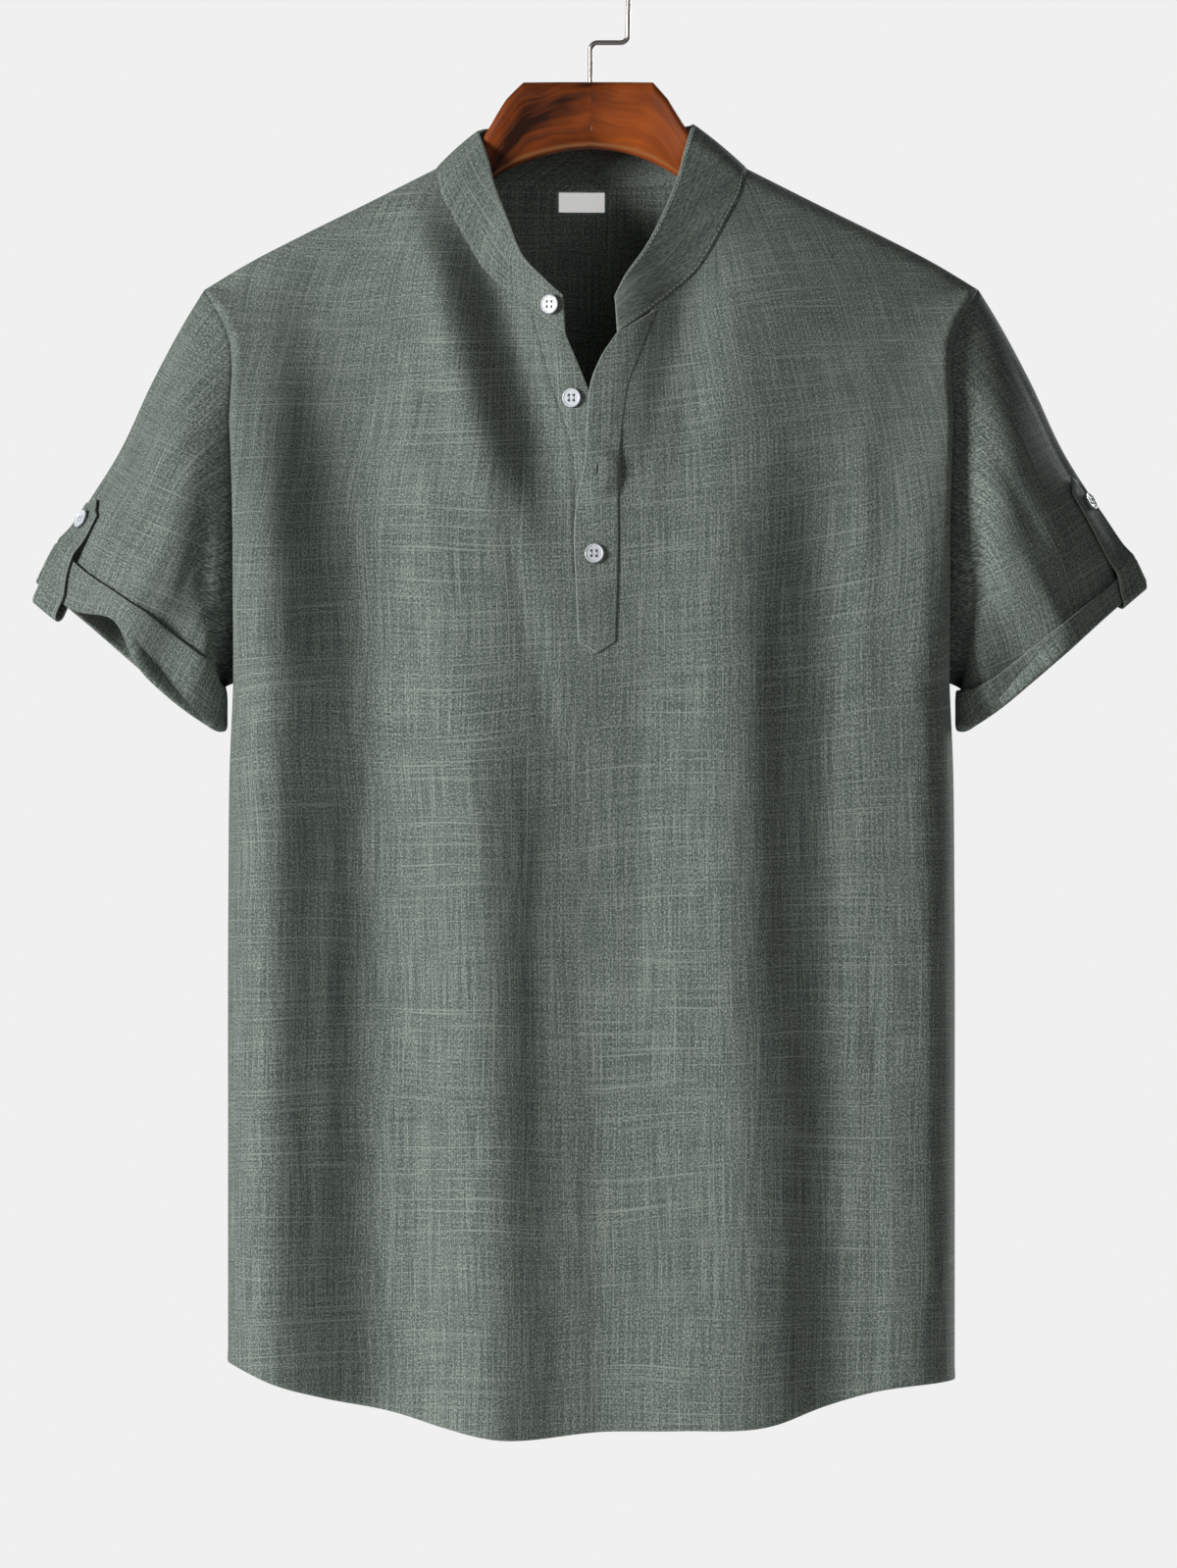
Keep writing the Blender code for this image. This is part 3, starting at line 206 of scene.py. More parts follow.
PLACKET_UNDER = (  # left_x, left_z, right_x, right_z
    (-0.0345, -0.2080, -0.0149, -0.2223),
    (-0.0240, -0.2480, -0.0011, -0.2562),
    (-0.0110, -0.2900, +0.0100, -0.2900),
    (-0.0092, -0.3300, +0.0108, -0.3300),
    (-0.0086, -0.3620, +0.0108, -0.3600),
)
PLACKET_TOP = (  # left_x, left_z, right_x, right_z
    (+0.0143, -0.2223, +0.0375, -0.2080),
    (+0.0052, -0.2370, +0.0275, -0.2344),
    (-0.0011, -0.2562, +0.0200, -0.2562),
    (-0.0034, -0.2946, +0.0156, -0.2946),
    (-0.0080, -0.3176, +0.0150, -0.3176),
    (-0.0098, -0.3400, +0.0152, -0.3400),
    (-0.0086, -0.3692, +0.0145, -0.3692),
    (-0.0075, -0.4008, +0.0135, -0.4008),
)
PLACKET_POINT = 0.0069
PLACKET_POINT_ROWS = 8
PLACKET_LAP = 0.0030      # how far the front goes on under the upper strip
OPEN_BUTTON = (-0.0109, -0.2596)
BUMP_AT = (0.0029, -0.3015)      # of the button that lies under the upper strip
FASTENED_BUTTON = (0.0017, -0.3503)
BUMP_R = (0.0075, 0.0190)        # full lift within the first, none beyond the second
BUMP_H = 0.0027
BUTTONHOLE_LENGTH = 0.0080
BUTTONHOLE_GAPE = 0.0017  # how far its sides stand apart in the middle
STRIP_LIE = 0.0011        # between the middles of the upper strip and the front
STRIP_SINK = 0.85         # how much of that is lost by its right edge,
STRIP_SINK_FROM = 0.6     # from this share of its width on
STRIP_SINK_Z = (-0.2900, -0.2700)     # and between these heights, and above them
SLIT_FADE = 0.0022        # beside the buttonhole its gape is lost over this width
STRIP_ROWS = 260
STRIP_COLUMNS = 24

BAND_ROWS = 16
BAND_ROLL = 0.0012
BAND_ROLL_POWER = 0.7
BAND_TOP_RIGHT, BAND_TOP_LEFT, BAND_TOP_Y = 2, 4, 6     # columns of the two tables that follow
BAND_TOP = (  # seam_x, seam_z, right_x, right_z, left_x, left_z, y  (the wearer's right and left)
    (0.0149, -0.2223, 0.0165, -0.1995, 0.0134, -0.2000, -0.0560),
    (0.0345, -0.2080, 0.0270, -0.1900, 0.0200, -0.1870, -0.0545),
    (0.0585, -0.1885, 0.0400, -0.1760, 0.0320, -0.1700, -0.0490),
    (0.0690, -0.1745, 0.0480, -0.1560, 0.0420, -0.1500, -0.0410),
    (0.0812, -0.1520, 0.0560, -0.1350, 0.0500, -0.1300, -0.0290),
    (0.0878, -0.1385, 0.0600, -0.1190, 0.0540, -0.1140, -0.0180),
    (0.0893, -0.1312, 0.0630, -0.1100, 0.0565, -0.1055, -0.0120),
    (0.0905, -0.1240, 0.0660, -0.1020, 0.0590, -0.0980, -0.0005),
)
BAND_TOP_BACK = (  # seam_x, seam_z, right_x, right_z, left_x, left_z, y
    (0.0905, -0.1240, 0.0660, -0.1020, 0.0590, -0.0980, -0.0005),
    (0.0780, -0.1305, 0.0600, -0.1000, 0.0560, -0.0985, +0.0130),
    (0.0550, -0.1335, 0.0450, -0.0995, 0.0430, -0.0990, +0.0235),
    (0.0000, -0.1345, 0.0000, -0.1000, 0.0000, -0.1000, +0.0300),
)

SLEEVE = (  # along, upper_x, upper_z, under_x, under_z, front_depth, back_depth
    (0.00, 0.2262, -0.1950, 0.2085, -0.4240, 0.042, 0.054),
    (0.10, 0.2372, -0.2130, 0.2150, -0.4270, 0.049, 0.055),
    (0.30, 0.2560, -0.2480, 0.2165, -0.4325, 0.058, 0.054),
    (0.55, 0.2775, -0.2930, 0.2165, -0.4400, 0.058, 0.052),
    (0.72, 0.2985, -0.3260, 0.2165, -0.4450, 0.053, 0.049),
    (0.86, 0.3130, -0.3490, 0.2165, -0.4490, 0.049, 0.047),
    (1.00, 0.3213, -0.3659, 0.2168, -0.4508, 0.046, 0.046),
)
EDGE_SAG = 0.008          # how far the edge hangs down between ridge and underarm
SLEEVE_FOLDS = (  # around, from_along, to_along, half_width, height
    (0.13, 0.05, 0.90, 0.045, +0.0040),
    (0.30, 0.00, 0.95, 0.050, -0.0080),
    (0.44, 0.15, 0.95, 0.035, +0.0040),
    (0.70, 0.10, 0.95, 0.055, -0.0060),
    (0.86, 0.05, 0.90, 0.045, +0.0035),
)
SLEEVE_CREASES = (  # around, from_along, to_along, half_width, height
    (0.05, 0.05, 0.70, 0.012, -0.0012),
    (0.09, 0.35, 0.95, 0.014, +0.0011),
    (0.18, 0.02, 0.60, 0.014, -0.0014),
    (0.22, 0.30, 0.95, 0.013, +0.0012),
    (0.27, 0.00, 0.50, 0.011, -0.0016),
    (0.36, 0.10, 0.80, 0.012, +0.0013),
    (0.41, 0.00, 0.55, 0.010, -0.0014),
    (0.57, 0.05, 0.75, 0.012, +0.0012),
    (0.64, 0.10, 0.95, 0.013, -0.0013),
    (0.76, 0.00, 0.60, 0.012, +0.0012),
    (0.82, 0.30, 0.95, 0.013, -0.0013),
    (0.93, 0.05, 0.70, 0.012, +0.0010),
)
SLEEVE_ROWS = 60
RIDGE_FOLD = 0.7          # how much more pointed than an ellipse the upper ridge gets
RIDGE_FOLD_BY = 0.7       # by this share of the sleeve's length
PRESSED = 3.0             # and more of the same towards the edge
PRESSED_FROM = 0.6
PRESSED_POWER = 0.45
SLEEVE_FOLD_IN = 0.3
SLEEVE_FOLD_OUT = 0.15
SLEEVE_FOLD_LEFT = 0.4
SLEEVE_FOLD_FROM = 0.2
SLEEVE_FOLD_LEVEL = 0.5   # share of a fold's height that goes along x and z
SAG_FROM = 0.3
SAG_WAY = (0.6, -0.8)     # x and z
LIFT_WAY = (-0.5, 0.8)
NEAR_EDGE = 0.6           # the sleeve's length by its edge is measured from here on
PROBE_STEP = 0.001
EDGE_TURN_POINTS = 9      # of the half circle round the cuff's edge
TAB_INSIDE_STEPS = 5
TAB_EDGE_STEPS = 16
TAB_RUN_STEPS = 8
TAB_POINT_ROWS = 4
CUFF_SHARE = 0.55         # the cuff covers at most this share of the sleeve's length
CUFF_TURN_R = 0.0016      # radius of the turn at the cuff's edge
CUFF_ROWS = 14
CUFF_FLAT_UP = 1.0        # the cuff's flat map starts this far from the sleeve's
CUFF_FLAT_FROM = 2        # and this many rows past the sleeve's last
CUFF = {-1: (0.031, 0.014), +1: (0.019, 0.000)}      # wearer's side: height, lift of its front
LIFT_AROUND = 0.21        # where round the ring the cuff's front is lifted
LIFT_WIDTH = 0.045
LIFT_FROM = 0.72
LIFT_LOST = 0.5           # share of the lift that the cuff's height loses
TAB_GAP = 0.0011
TAB_TOP = {-1: 0.062, +1: 0.074}                           # height of its point above the cuff's edge
TAB_POINT = 0.0045
TAB_DROP = {-1: 0.0080, +1: 0.0005}                        # how far it hangs below the edge
TAB_INSIDE = 0.020        # length of the tab inside the sleeve
TAB_AROUND = {-1: (0.085, 0.062), +1: (0.074, 0.066)}      # share of the ring at the edge, at the point
TAB_W = 0.0205
TAB_PROBE = 0.03          # share of the ring
TAB_BUTTON = {-1: 0.0505, +1: 0.0605}
TAB_STEP = ((0.004, 1.0), (0.012, 0.2), (0.018, 0.0))      # height over the cuff, share of its lift left
TAB_COLUMNS = 24

BUTTON_R = 0.00575
BUTTON_T = 0.0021
BUTTON_RIM = 0.0011
BUTTON_SHOULDER = 0.0007  # how far the rim falls to its outer edge
BUTTON_DISH = 0.0005
BUTTON_DISH_IN = 0.00077  # the dish starts this far in, and deepens over the next length
BUTTON_DISH_EASE = 0.0007
BUTTON_FLOOR = 0.0003     # height left at the bottom of a hole
BUTTON_HOLE_EASE = 0.00022
BUTTON_HOLE_R = 0.00078
BUTTON_HOLE_AT = 0.00150
BUTTON_BELOW = (  # radius, height of the rings under its rim
    (0.00575, 0.0006),
    (0.00545, 0.0002),
    (0.00495, 0.0),
    (0.0, 0.0),
)
BUTTON_RINGS = 30
BUTTON_RIM_RINGS = 12
BUTTON_SIDES = 96
CURVED_LIFT = 0.0003      # a button on curved cloth sits this much higher
THREAD_R = 0.00014
THREAD_SUNK = 0.0005      # its arcs end this far below the dish
THREAD_RISE = 0.00075
THREAD_STEPS = 12
THREAD_SIDES = 8
THREAD_CAP = (0.8,)
LABEL = (-0.0189, 0.0075, -0.1366, -0.1476)      # left x, right x, top z, bottom z
LABEL_COLUMNS = 48
LABEL_ROWS = 20

HANGER = (  # x, top_z, bottom_z, half_thickness
    (0.0000, -0.0732, -0.1122, 0.0095),
    (0.0200, -0.0732, -0.1148, 0.0095),
    (0.0361, -0.0734, -0.1205, 0.0095),
    (0.0448, -0.0832, -0.1250, 0.0092),
    (0.0540, -0.0980, -0.1310, 0.0086),
    (0.0660, -0.1150, -0.1385, 0.0082),
    (0.0800, -0.1240, -0.1465, 0.0078),
    (0.0950, -0.1282, -0.1535, 0.0074),
    (0.1300, -0.1454, -0.1670, 0.0068),
    (0.1600, -0.1603, -0.1800, 0.0062),
    (0.1800, -0.1706, -0.1870, 0.0054),
    (0.1890, -0.1780, -0.1870, 0.0036),
)
WOOD_JOINT = 0.00003
WOOD_TIP_X = 0.1860       # from here on the sections shrink to the tip
WOOD_TIP_W = 0.0031
WOOD_TIP_TO = 0.97
# The wood's lower edges are painted pale tan: a painted highlight where the bevel catches the light, with
# some bare wood rubbed through.
WORN_LIT_WOOD_AT = 0.86       # share of the half height down to the pale lower edges
WORN_LIT_WOOD_WIDTH = 0.05
WORN_LIT_WOOD_FROM = (0.5, 0.7)      # shares of the half thickness out from the middle
EDGE_ROUND = (0.45, 1.0)  # power of the section's sine and cosine: boxy at the neck, round on the arm,
EDGE_ROUND_X = (0.050, 0.090)    # between these two distances from the middle
NECK_STEP = {-1: 0.0050, +1: 0.0}       # how far out one half's neck stands
NECK_STEP_X = 0.048
NECK_STEP_W = 0.022
WOOD_SIDES = 72
WOOD_SECTIONS = 190

WIRE_R = 0.0014
HOOK_R = 0.0218
HOOK_SHANK_X = -0.0006
HOOK_KINK_Z = -0.0500
HOOK_CORNER_R = 0.0042
HOOK_END_ANGLE = 184
SHANK_LOW_Z = -0.0970
SHANK_STEPS = 11
CORNER_STEPS = 10
BEND_STEPS = 59
WIRE_SIDES = 24
WIRE_CAP = (0.5, 0.8660254)
TUBE_FLAT_STEP = 0.001    # of the flat map, from one circle to the next
BORE_R = 0.0017
BORE_Z = (-0.0980, -0.0600)
BORE_POINTS = 5
SHARP_ANGLE = 50          # edges of the bored wood sharper than this stay sharp

WEFT_SLOPE = 0.18         # the weft's slope over the wearer's left chest
WEFT_SLOPE_Z = -0.33      # the height where that slope is greatest
WEFT_SLOPE_H = 0.12       # and the half width of its bell
WEFT_TILT = 0.025         # its slope everywhere on the front
SEAM_GROOVE = 0.00015     # how far cloth is drawn back at a sewn seam
CLOSED_SEAM = 0.00003     # and along the slit, where the strips lie close
SEAM_DECIMALS = 5         # points that agree to this many decimals lie on the same seam
STITCH = (0.0021, 0.00056, 0.00032)      # length, width and height of one stitch
STITCH_PITCH = 0.0030
STITCH_PROBE = 0.0005
STITCH_RINGS = 3
STITCH_SIDES = 6
HEM_STITCH_UP = 0.0058
HEM_STEP = 0.0012         # the hem's second layer ends over this length, at its stitches
NECK_STITCH_IN = 0.0024   # the back's stitches below its neckline, measured down this column
NECK_STITCH_COLUMN = 10
BAND_STITCH_ROWS = 0.9    # rows and columns in from the edges
STRIP_STITCH_COLUMNS = 1.8
TAB_STITCH_COLUMNS = 2.0
TAB_STITCH_LEFT = 2
CROSS_STITCH_Z = (-0.2826, -0.3394, -0.3930)
CROSS_STITCH_IN = 2
CUFF_STITCH = 0.45        # share of the cuff's height where its lengthwise stitches run

# ---------------------------------------------------------------- the garment's form


def curve(stations, values, at):
    """A smooth line through a table's rows: cubic pieces, with the slopes of its chords."""
    stations = np.asarray(stations, float)
    values = np.asarray(values, float)
    slopes = np.gradient(values, stations)
    at = np.clip(at, stations[0], stations[-1])
    i = np.clip(np.searchsorted(stations, at, side="right") - 1, 0, len(stations) - 2)
    step = stations[i + 1] - stations[i]
    t = (at - stations[i]) / step
    from_start = (2 * t ** 3 - 3 * t ** 2 + 1) * values[i] + (t ** 3 - 2 * t ** 2 + t) * step * slopes[i]
    to_end = (3 * t ** 2 - 2 * t ** 3) * values[i + 1] + (t ** 3 - t ** 2) * step * slopes[i + 1]
    return from_start + to_end


def column(table, index):
    """One column of a table."""
    return [row[index] for row in table]


def smooth(t):
    """0 to 1 with flat ends: 3 t squared less 2 t cubed."""
    t = np.clip(t, 0.0, 1.0)
    return t * t * (3 - 2 * t)


def falling(table, index, z):
    """A column of a table whose first column is a height that falls from row to row."""
    return curve([-height for height in column(table, 0)], column(table, index), -np.asarray(z, float))


def folds(table, x, z):
    """Height of a table's folds at x, z: a bell across each line, faded in from its top."""
    total = np.zeros(np.broadcast(x, z).shape)
    for x_top, z_top, x_low, z_low, half_width, height, fades in table:
        along = (z_top - z) / (z_top - z_low)
        line = x_top + (x_low - x_top) * np.clip(along, 0, 1)
        strength = smooth(along / FOLD_IN) * (1 - fades * smooth((along - 1 + FOLD_OUT) / FOLD_OUT))
        total += height * strength * np.exp(-((x - line) / half_width) ** 2)
    return total


def rumple(x, z):
    """Slight unevenness of worn linen: slanted sine waves of unlike lengths, multiplied in pairs."""
    total = 0.0
    for height, *waves in RUMPLE:
        first, second = (np.sin(by_x * x + by_z * z + start) for by_x, by_z, start in waves)
        total = total + height * (first * second)
    return total


def shoulder_z(x):
    """The shoulder line, carried on to the middle as a guide for the form under it."""
    inside = np.maximum(NECK_POINT[0] - np.abs(x), 0)
    return curve(column(SHOULDER, 0), column(SHOULDER, 1), np.abs(x)) + SHOULDER_SLOPE * inside


def armhole_reach(z, front):
    """How far the armhole stands forward or back at a height: half an ellipse."""
    down = np.clip((SHOULDER_TIP[1] - z) / (SHOULDER_TIP[1] - UNDERARM_Z), 0, 1)
    return (ARMHOLE_FRONT if front else ARMHOLE_BACK) * np.sqrt(1 - (2 * down - 1) ** 2)


def torso_y(x, z, front):
    """Depth of the front or back at x, z: the arm's round edge, the filled body and the folds, added."""
    x, z = np.broadcast_arrays(np.asarray(x, float), np.asarray(z, float))
    across = np.clip(np.abs(x) / falling(TORSO, 1, z), 0, 1)
    level = np.sqrt(1 - across ** 2)
    depth = falling(TORSO, 2 if front else 3, z)
    reach = armhole_reach(z, front)
    below = np.maximum(shoulder_z(x) - z, 0)
    over_arm = np.sqrt(1 - (1 - np.minimum(below / ARM_ROUND_H, 1)) ** 2)
    filled = 1 - np.exp(-below / SHOULDER_FALL)
    at_edge = np.exp(-(1 - across) * falling(TORSO, 1, z) / ARMHOLE_FADE)
    body = (depth - ARM_ROUND) * level ** falling(TORSO, 4, z) * filled
    body = body * (1 - reach / depth * at_edge)
    creases = folds(FRONT_FOLDS if front else BACK_FOLDS, x, z)
    creases = creases + folds(FRONT_CREASES if front else BACK_CREASES, x, z) + rumple(x, z)
    creases = creases * (1 - across ** FOLD_SIDE_POWER) * (1 - np.exp(-below / FOLD_START))
    out = reach * at_edge + ARM_ROUND * np.sqrt(level) * over_arm + body + creases
    return -out if front else out


def stack(x, y, z):
    """Points from their coordinates."""
    return np.stack(np.broadcast_arrays(x, y, z), axis=-1).astype(float)


def cosine_rows(count):
    """0 to 1, closer together at both ends, as an ellipse is stepped round."""
    return (1 - np.cos(np.linspace(0, math.pi, count + 1))) / 2


def flat_map(u, v):
    """Points of a flat map from their two coordinates."""
    return np.stack(np.broadcast_arrays(u, v), axis=-1)


def numbered(grid):
    """The point numbers of a grid, row after row."""
    return np.arange(grid.shape[0] * grid.shape[1]).reshape(grid.shape[:2])


def unit(vectors):
    """Vectors made one long."""
    return vectors / np.linalg.norm(vectors, axis=-1, keepdims=True)


def run_length(grid, axis):
    """Distance along a grid's rows or columns from their start."""
    steps = np.linalg.norm(np.diff(grid, axis=axis), axis=-1)
    start = np.zeros_like(np.take(steps, [0], axis=axis))
    return np.concatenate([start, np.cumsum(steps, axis=axis)], axis=axis)


def grid_faces(index, closed=False):
    """Quads of a grid of point numbers; closed joins the last column to the first."""
    if closed:
        index = np.concatenate([index, index[:, :1]], axis=1)
    return np.stack([index[:-1, :-1], index[1:, :-1], index[1:, 1:], index[:-1, 1:]], -1).reshape(-1, 4)


# ---------------------------------------------------------------- sheets of cloth


class Sheet:
    """Middle surface of one piece of cloth: points, quads that face outward, flat u, v in metres."""

    def __init__(self, points, faces, flat, thickness=THIN, sewn=True):
        self.points = np.asarray(points, float)
        self.faces = np.asarray(faces, int)
        self.flat = np.asarray(flat, float)
        self.thickness = np.broadcast_to(thickness, len(self.points)).astype(float)
        self.sewn = sewn
        self.normals = self.point_normals()
        self.edge = self.rim()
        self.rim_out = self.outward_from_rim()
        self.groove = np.full(len(self.points), SEAM_GROOVE if sewn else 0.0)
        self.corner_flat = None
        # Pale edges, worn and with a painted highlight; free edges get them in full.
        self.worn_lit = np.zeros(len(self.points))
        if not sewn:
            self.worn_lit[np.unique(self.edge)] = 1.0

    def point_normals(self):
        """Sum of the quads' cross products at each point, made one long."""
        corner = self.points[self.faces]
        across = np.cross(corner[:, 2] - corner[:, 0], corner[:, 3] - corner[:, 1])
        total = np.zeros_like(self.points)
        for k in range(4):
            np.add.at(total, self.faces[:, k], across)
        return unit(total)

    def rim(self):
        """Directed edges that belong to one quad only."""
        edges = np.concatenate([self.faces[:, [k, (k + 1) % 4]] for k in range(4)])
        many = len(self.points)
        key = edges[:, 0] * many + edges[:, 1]
        back = edges[:, 1] * many + edges[:, 0]
        return edges[~np.isin(key, back)]

    def outward_from_rim(self):
        """At each rim point, the direction in the sheet that leads off it."""
        middles = self.points[self.faces].mean(axis=1)
        total = np.zeros_like(self.points)
        count = np.zeros(len(self.points))
        for k in range(4):
            np.add.at(total, self.faces[:, k], middles)
            np.add.at(count, self.faces[:, k], 1)
        out = self.points - total / np.maximum(count, 1)[:, None]
        out -= (out * self.normals).sum(axis=1, keepdims=True) * self.normals
        on_rim = np.isin(np.arange(len(self.points)), self.edge)
        out[~on_rim] = 0
        return out / np.maximum(np.linalg.norm(out, axis=1, keepdims=True), TINY)

    def wall(self):
        """Points, faces, flat map and shares of wear and painted highlight of the closed wall, with a rounded
        rim.
        """
        half = self.normals * self.thickness[:, None] / 2
        base = self.points - self.rim_out * self.groove[:, None]
        count = len(base)
        rim = np.unique(self.edge)
        number = np.full(count, -1)
        number[rim] = np.arange(len(rim)) + 2 * count
        share = SEWN_RIM if self.sewn else FREE_RIM
        bulge = base[rim] + self.rim_out[rim] * self.thickness[rim, None] * share
        points = np.concatenate([base + half, base - half, bulge])
        a, b = self.edge[:, 0], self.edge[:, 1]
        sides = np.concatenate([np.stack([b, a, number[a], number[b]], 1),
                                np.stack([number[b], number[a], a + count, b + count], 1)])
        faces = np.concatenate([self.faces, self.faces[:, ::-1] + count, sides])
        flat = np.concatenate([self.flat, self.flat, self.flat[rim]])
        return points, faces, flat, np.concatenate([self.worn_lit, self.worn_lit, self.worn_lit[rim]])


def share_seam_normals(sheets):
    """Points of sewn sheets that lie on each other get the mean of their normals."""
    rims = [np.unique(sheet.edge) for sheet in sheets]
    points = np.concatenate([sheet.points[rim] for sheet, rim in zip(sheets, rims)])
    normals = np.concatenate([sheet.normals[rim] for sheet, rim in zip(sheets, rims)])
    _, where = np.unique(np.round(points, SEAM_DECIMALS), axis=0, return_inverse=True)
    where = where.reshape(-1)
    total = np.zeros((where.max() + 1, 3))
    np.add.at(total, where, normals)
    total = unit(total)
    start = 0
    for sheet, rim in zip(sheets, rims):
        sheet.normals[rim] = total[where[start:start + len(rim)]]
        start += len(rim)


# ---------------------------------------------------------------- front and back


def neck_line(table, count):
    """Points from the neck point along one side of the neckline, closest together at the shoulder."""
    run = np.linspace(0, 1, len(table))
    at = np.linspace(0, 1, count + 1) ** NECK_CROWD
    return curve(run, column(table, 0), at), curve(run, column(table, 1), at)


def inner_edge(table, index, z):
    """x of a placket strip's edge at a height."""
    return curve([-height for height in column(table, index + 1)], column(table, index), -z)


def half_panel(side, front):
    """One side of the front or back: rows from the top edge to the hem, columns from middle to side."""
    neck_x, neck_z = neck_line(NECK_FRONT if front else NECK_BACK, NECK_COLUMNS)
    shoulder_x = np.linspace(NECK_POINT[0], SHOULDER_TIP[0], SHOULDER_COLUMNS + 1)[1:]
    top_x = np.concatenate([neck_x[::-1], shoulder_x])
    top_z = np.concatenate([neck_z[::-1], shoulder_z(shoulder_x)])
    out = np.linspace(0, 1, len(top_x))
    middle_z = SLIT_END_Z if front else UNDERARM_Z
    mid_z = middle_z + (UNDERARM_Z - middle_z) * out
    upper = cosine_rows(ARMHOLE_ROWS)[:, None]
    lower = np.linspace(0, 1, BODY_ROWS + 1)[1:, None]
    inner_x = CENTRE_X * side if front else 0.0
    hem_angle = np.linspace(math.asin(inner_x / HEM_HALF_WIDTH), math.pi / 2, len(top_x))
    low_across = np.sin(hem_angle)
    hem = HEM_FRONT if front else HEM_BACK
    hem_z = curve(column(hem, 0), column(hem, 1), side * HEM_HALF_WIDTH * low_across)
    z = np.concatenate([top_z + (mid_z - top_z) * upper, mid_z + (hem_z - mid_z) * lower])
    middle = np.full(len(z), inner_x)
    if front:
        slit = slice(0, ARMHOLE_ROWS + 1)
        if side < 0:
            middle[slit] = -inner_edge(PLACKET_UNDER, 0, z[slit, 0])
        else:
            middle[slit] = inner_edge(PLACKET_TOP, 2, z[slit, 0]) - PLACKET_LAP
    width = falling(TORSO, 1, z)
    inner = (middle / width[:, 0])[:, None]
    top_share = (top_x / width[0] - inner[0]) / (1 - inner[0])
    top_share[0] = 0.0
    low_share = (low_across - low_across[0]) / (1 - low_across[0])
    drop = smooth(np.concatenate([upper, np.ones_like(lower)]) / BOTTOM_SPACING_BY)
    share = top_share + (low_share - top_share) * drop
    x = side * width * (inner + (1 - inner) * share)
    return stack(x, torso_y(x, z, front), z)


def hem_thickness(grid):
    """Cloth thickness on a panel: two layers within the hem's turn-up, one above it."""
    up = run_length(grid[::-1], 0)[::-1]
    return THIN + (DOUBLE - THIN) * smooth((HEM_STITCH_UP - up) / HEM_STEP + 0.5)


def weft_rise(x, z):
    """How far the weft climbs: an even tilt, and beside the placket a bell down the chest times x."""
    return WEFT_TILT * x + WEFT_SLOPE * np.maximum(x, 0) * np.exp(-((z - WEFT_SLOPE_Z) / WEFT_SLOPE_H) ** 2)


def panel(front):
    """Front or back from its two sides; the front's stay apart along the slit."""
    right = half_panel(-1, front)
    left = half_panel(+1, front)
    joined_from = ARMHOLE_ROWS + 1 if front else 0
    right_index = numbered(right)
    left_index = right_index + right_index.size
    left_index[joined_from:, 0] = right_index[joined_from:, 0]
    faces = np.concatenate([grid_faces(right_index[:, ::-1]), grid_faces(left_index)])
    faces = faces if front else faces[:, ::-1]
    flat = []
    for grid, side in ((right, -1), (left, +1)):
        v = grid[..., 2] - front * weft_rise(grid[..., 0], grid[..., 2])
        flat.append(flat_map(grid[:, :1, 0] + side * run_length(grid, 1), v).reshape(-1, 2))
    thick = np.concatenate([hem_thickness(right).ravel(), hem_thickness(left).ravel()])
    points = np.concatenate([right.reshape(-1, 3), left.reshape(-1, 3)])
    used = np.unique(faces)
    renumber = np.full(len(points), -1)
    renumber[used] = np.arange(len(used))
    made = Sheet(points[used], renumber[faces], np.concatenate(flat)[used], thick[used])
    if front:
        made.groove[renumber[right_index[:ARMHOLE_ROWS + 1, 0]]] = CLOSED_SEAM
    hem = np.concatenate([right_index[-1], left_index[-1]])
    # The hem's folded edge: pale yarn for wear and a painted highlight.
    made.worn_lit[renumber[hem]] = WORN_LIT_HEM
    return made


# ---------------------------------------------------------------- sleeves, cuffs and tabs


def edge_lift(around, side):
    """How far the front of the cuff's edge is lifted: a bell round the ring."""
    return CUFF[side][1] * np.exp(-((around - LIFT_AROUND) / LIFT_WIDTH) ** 2)


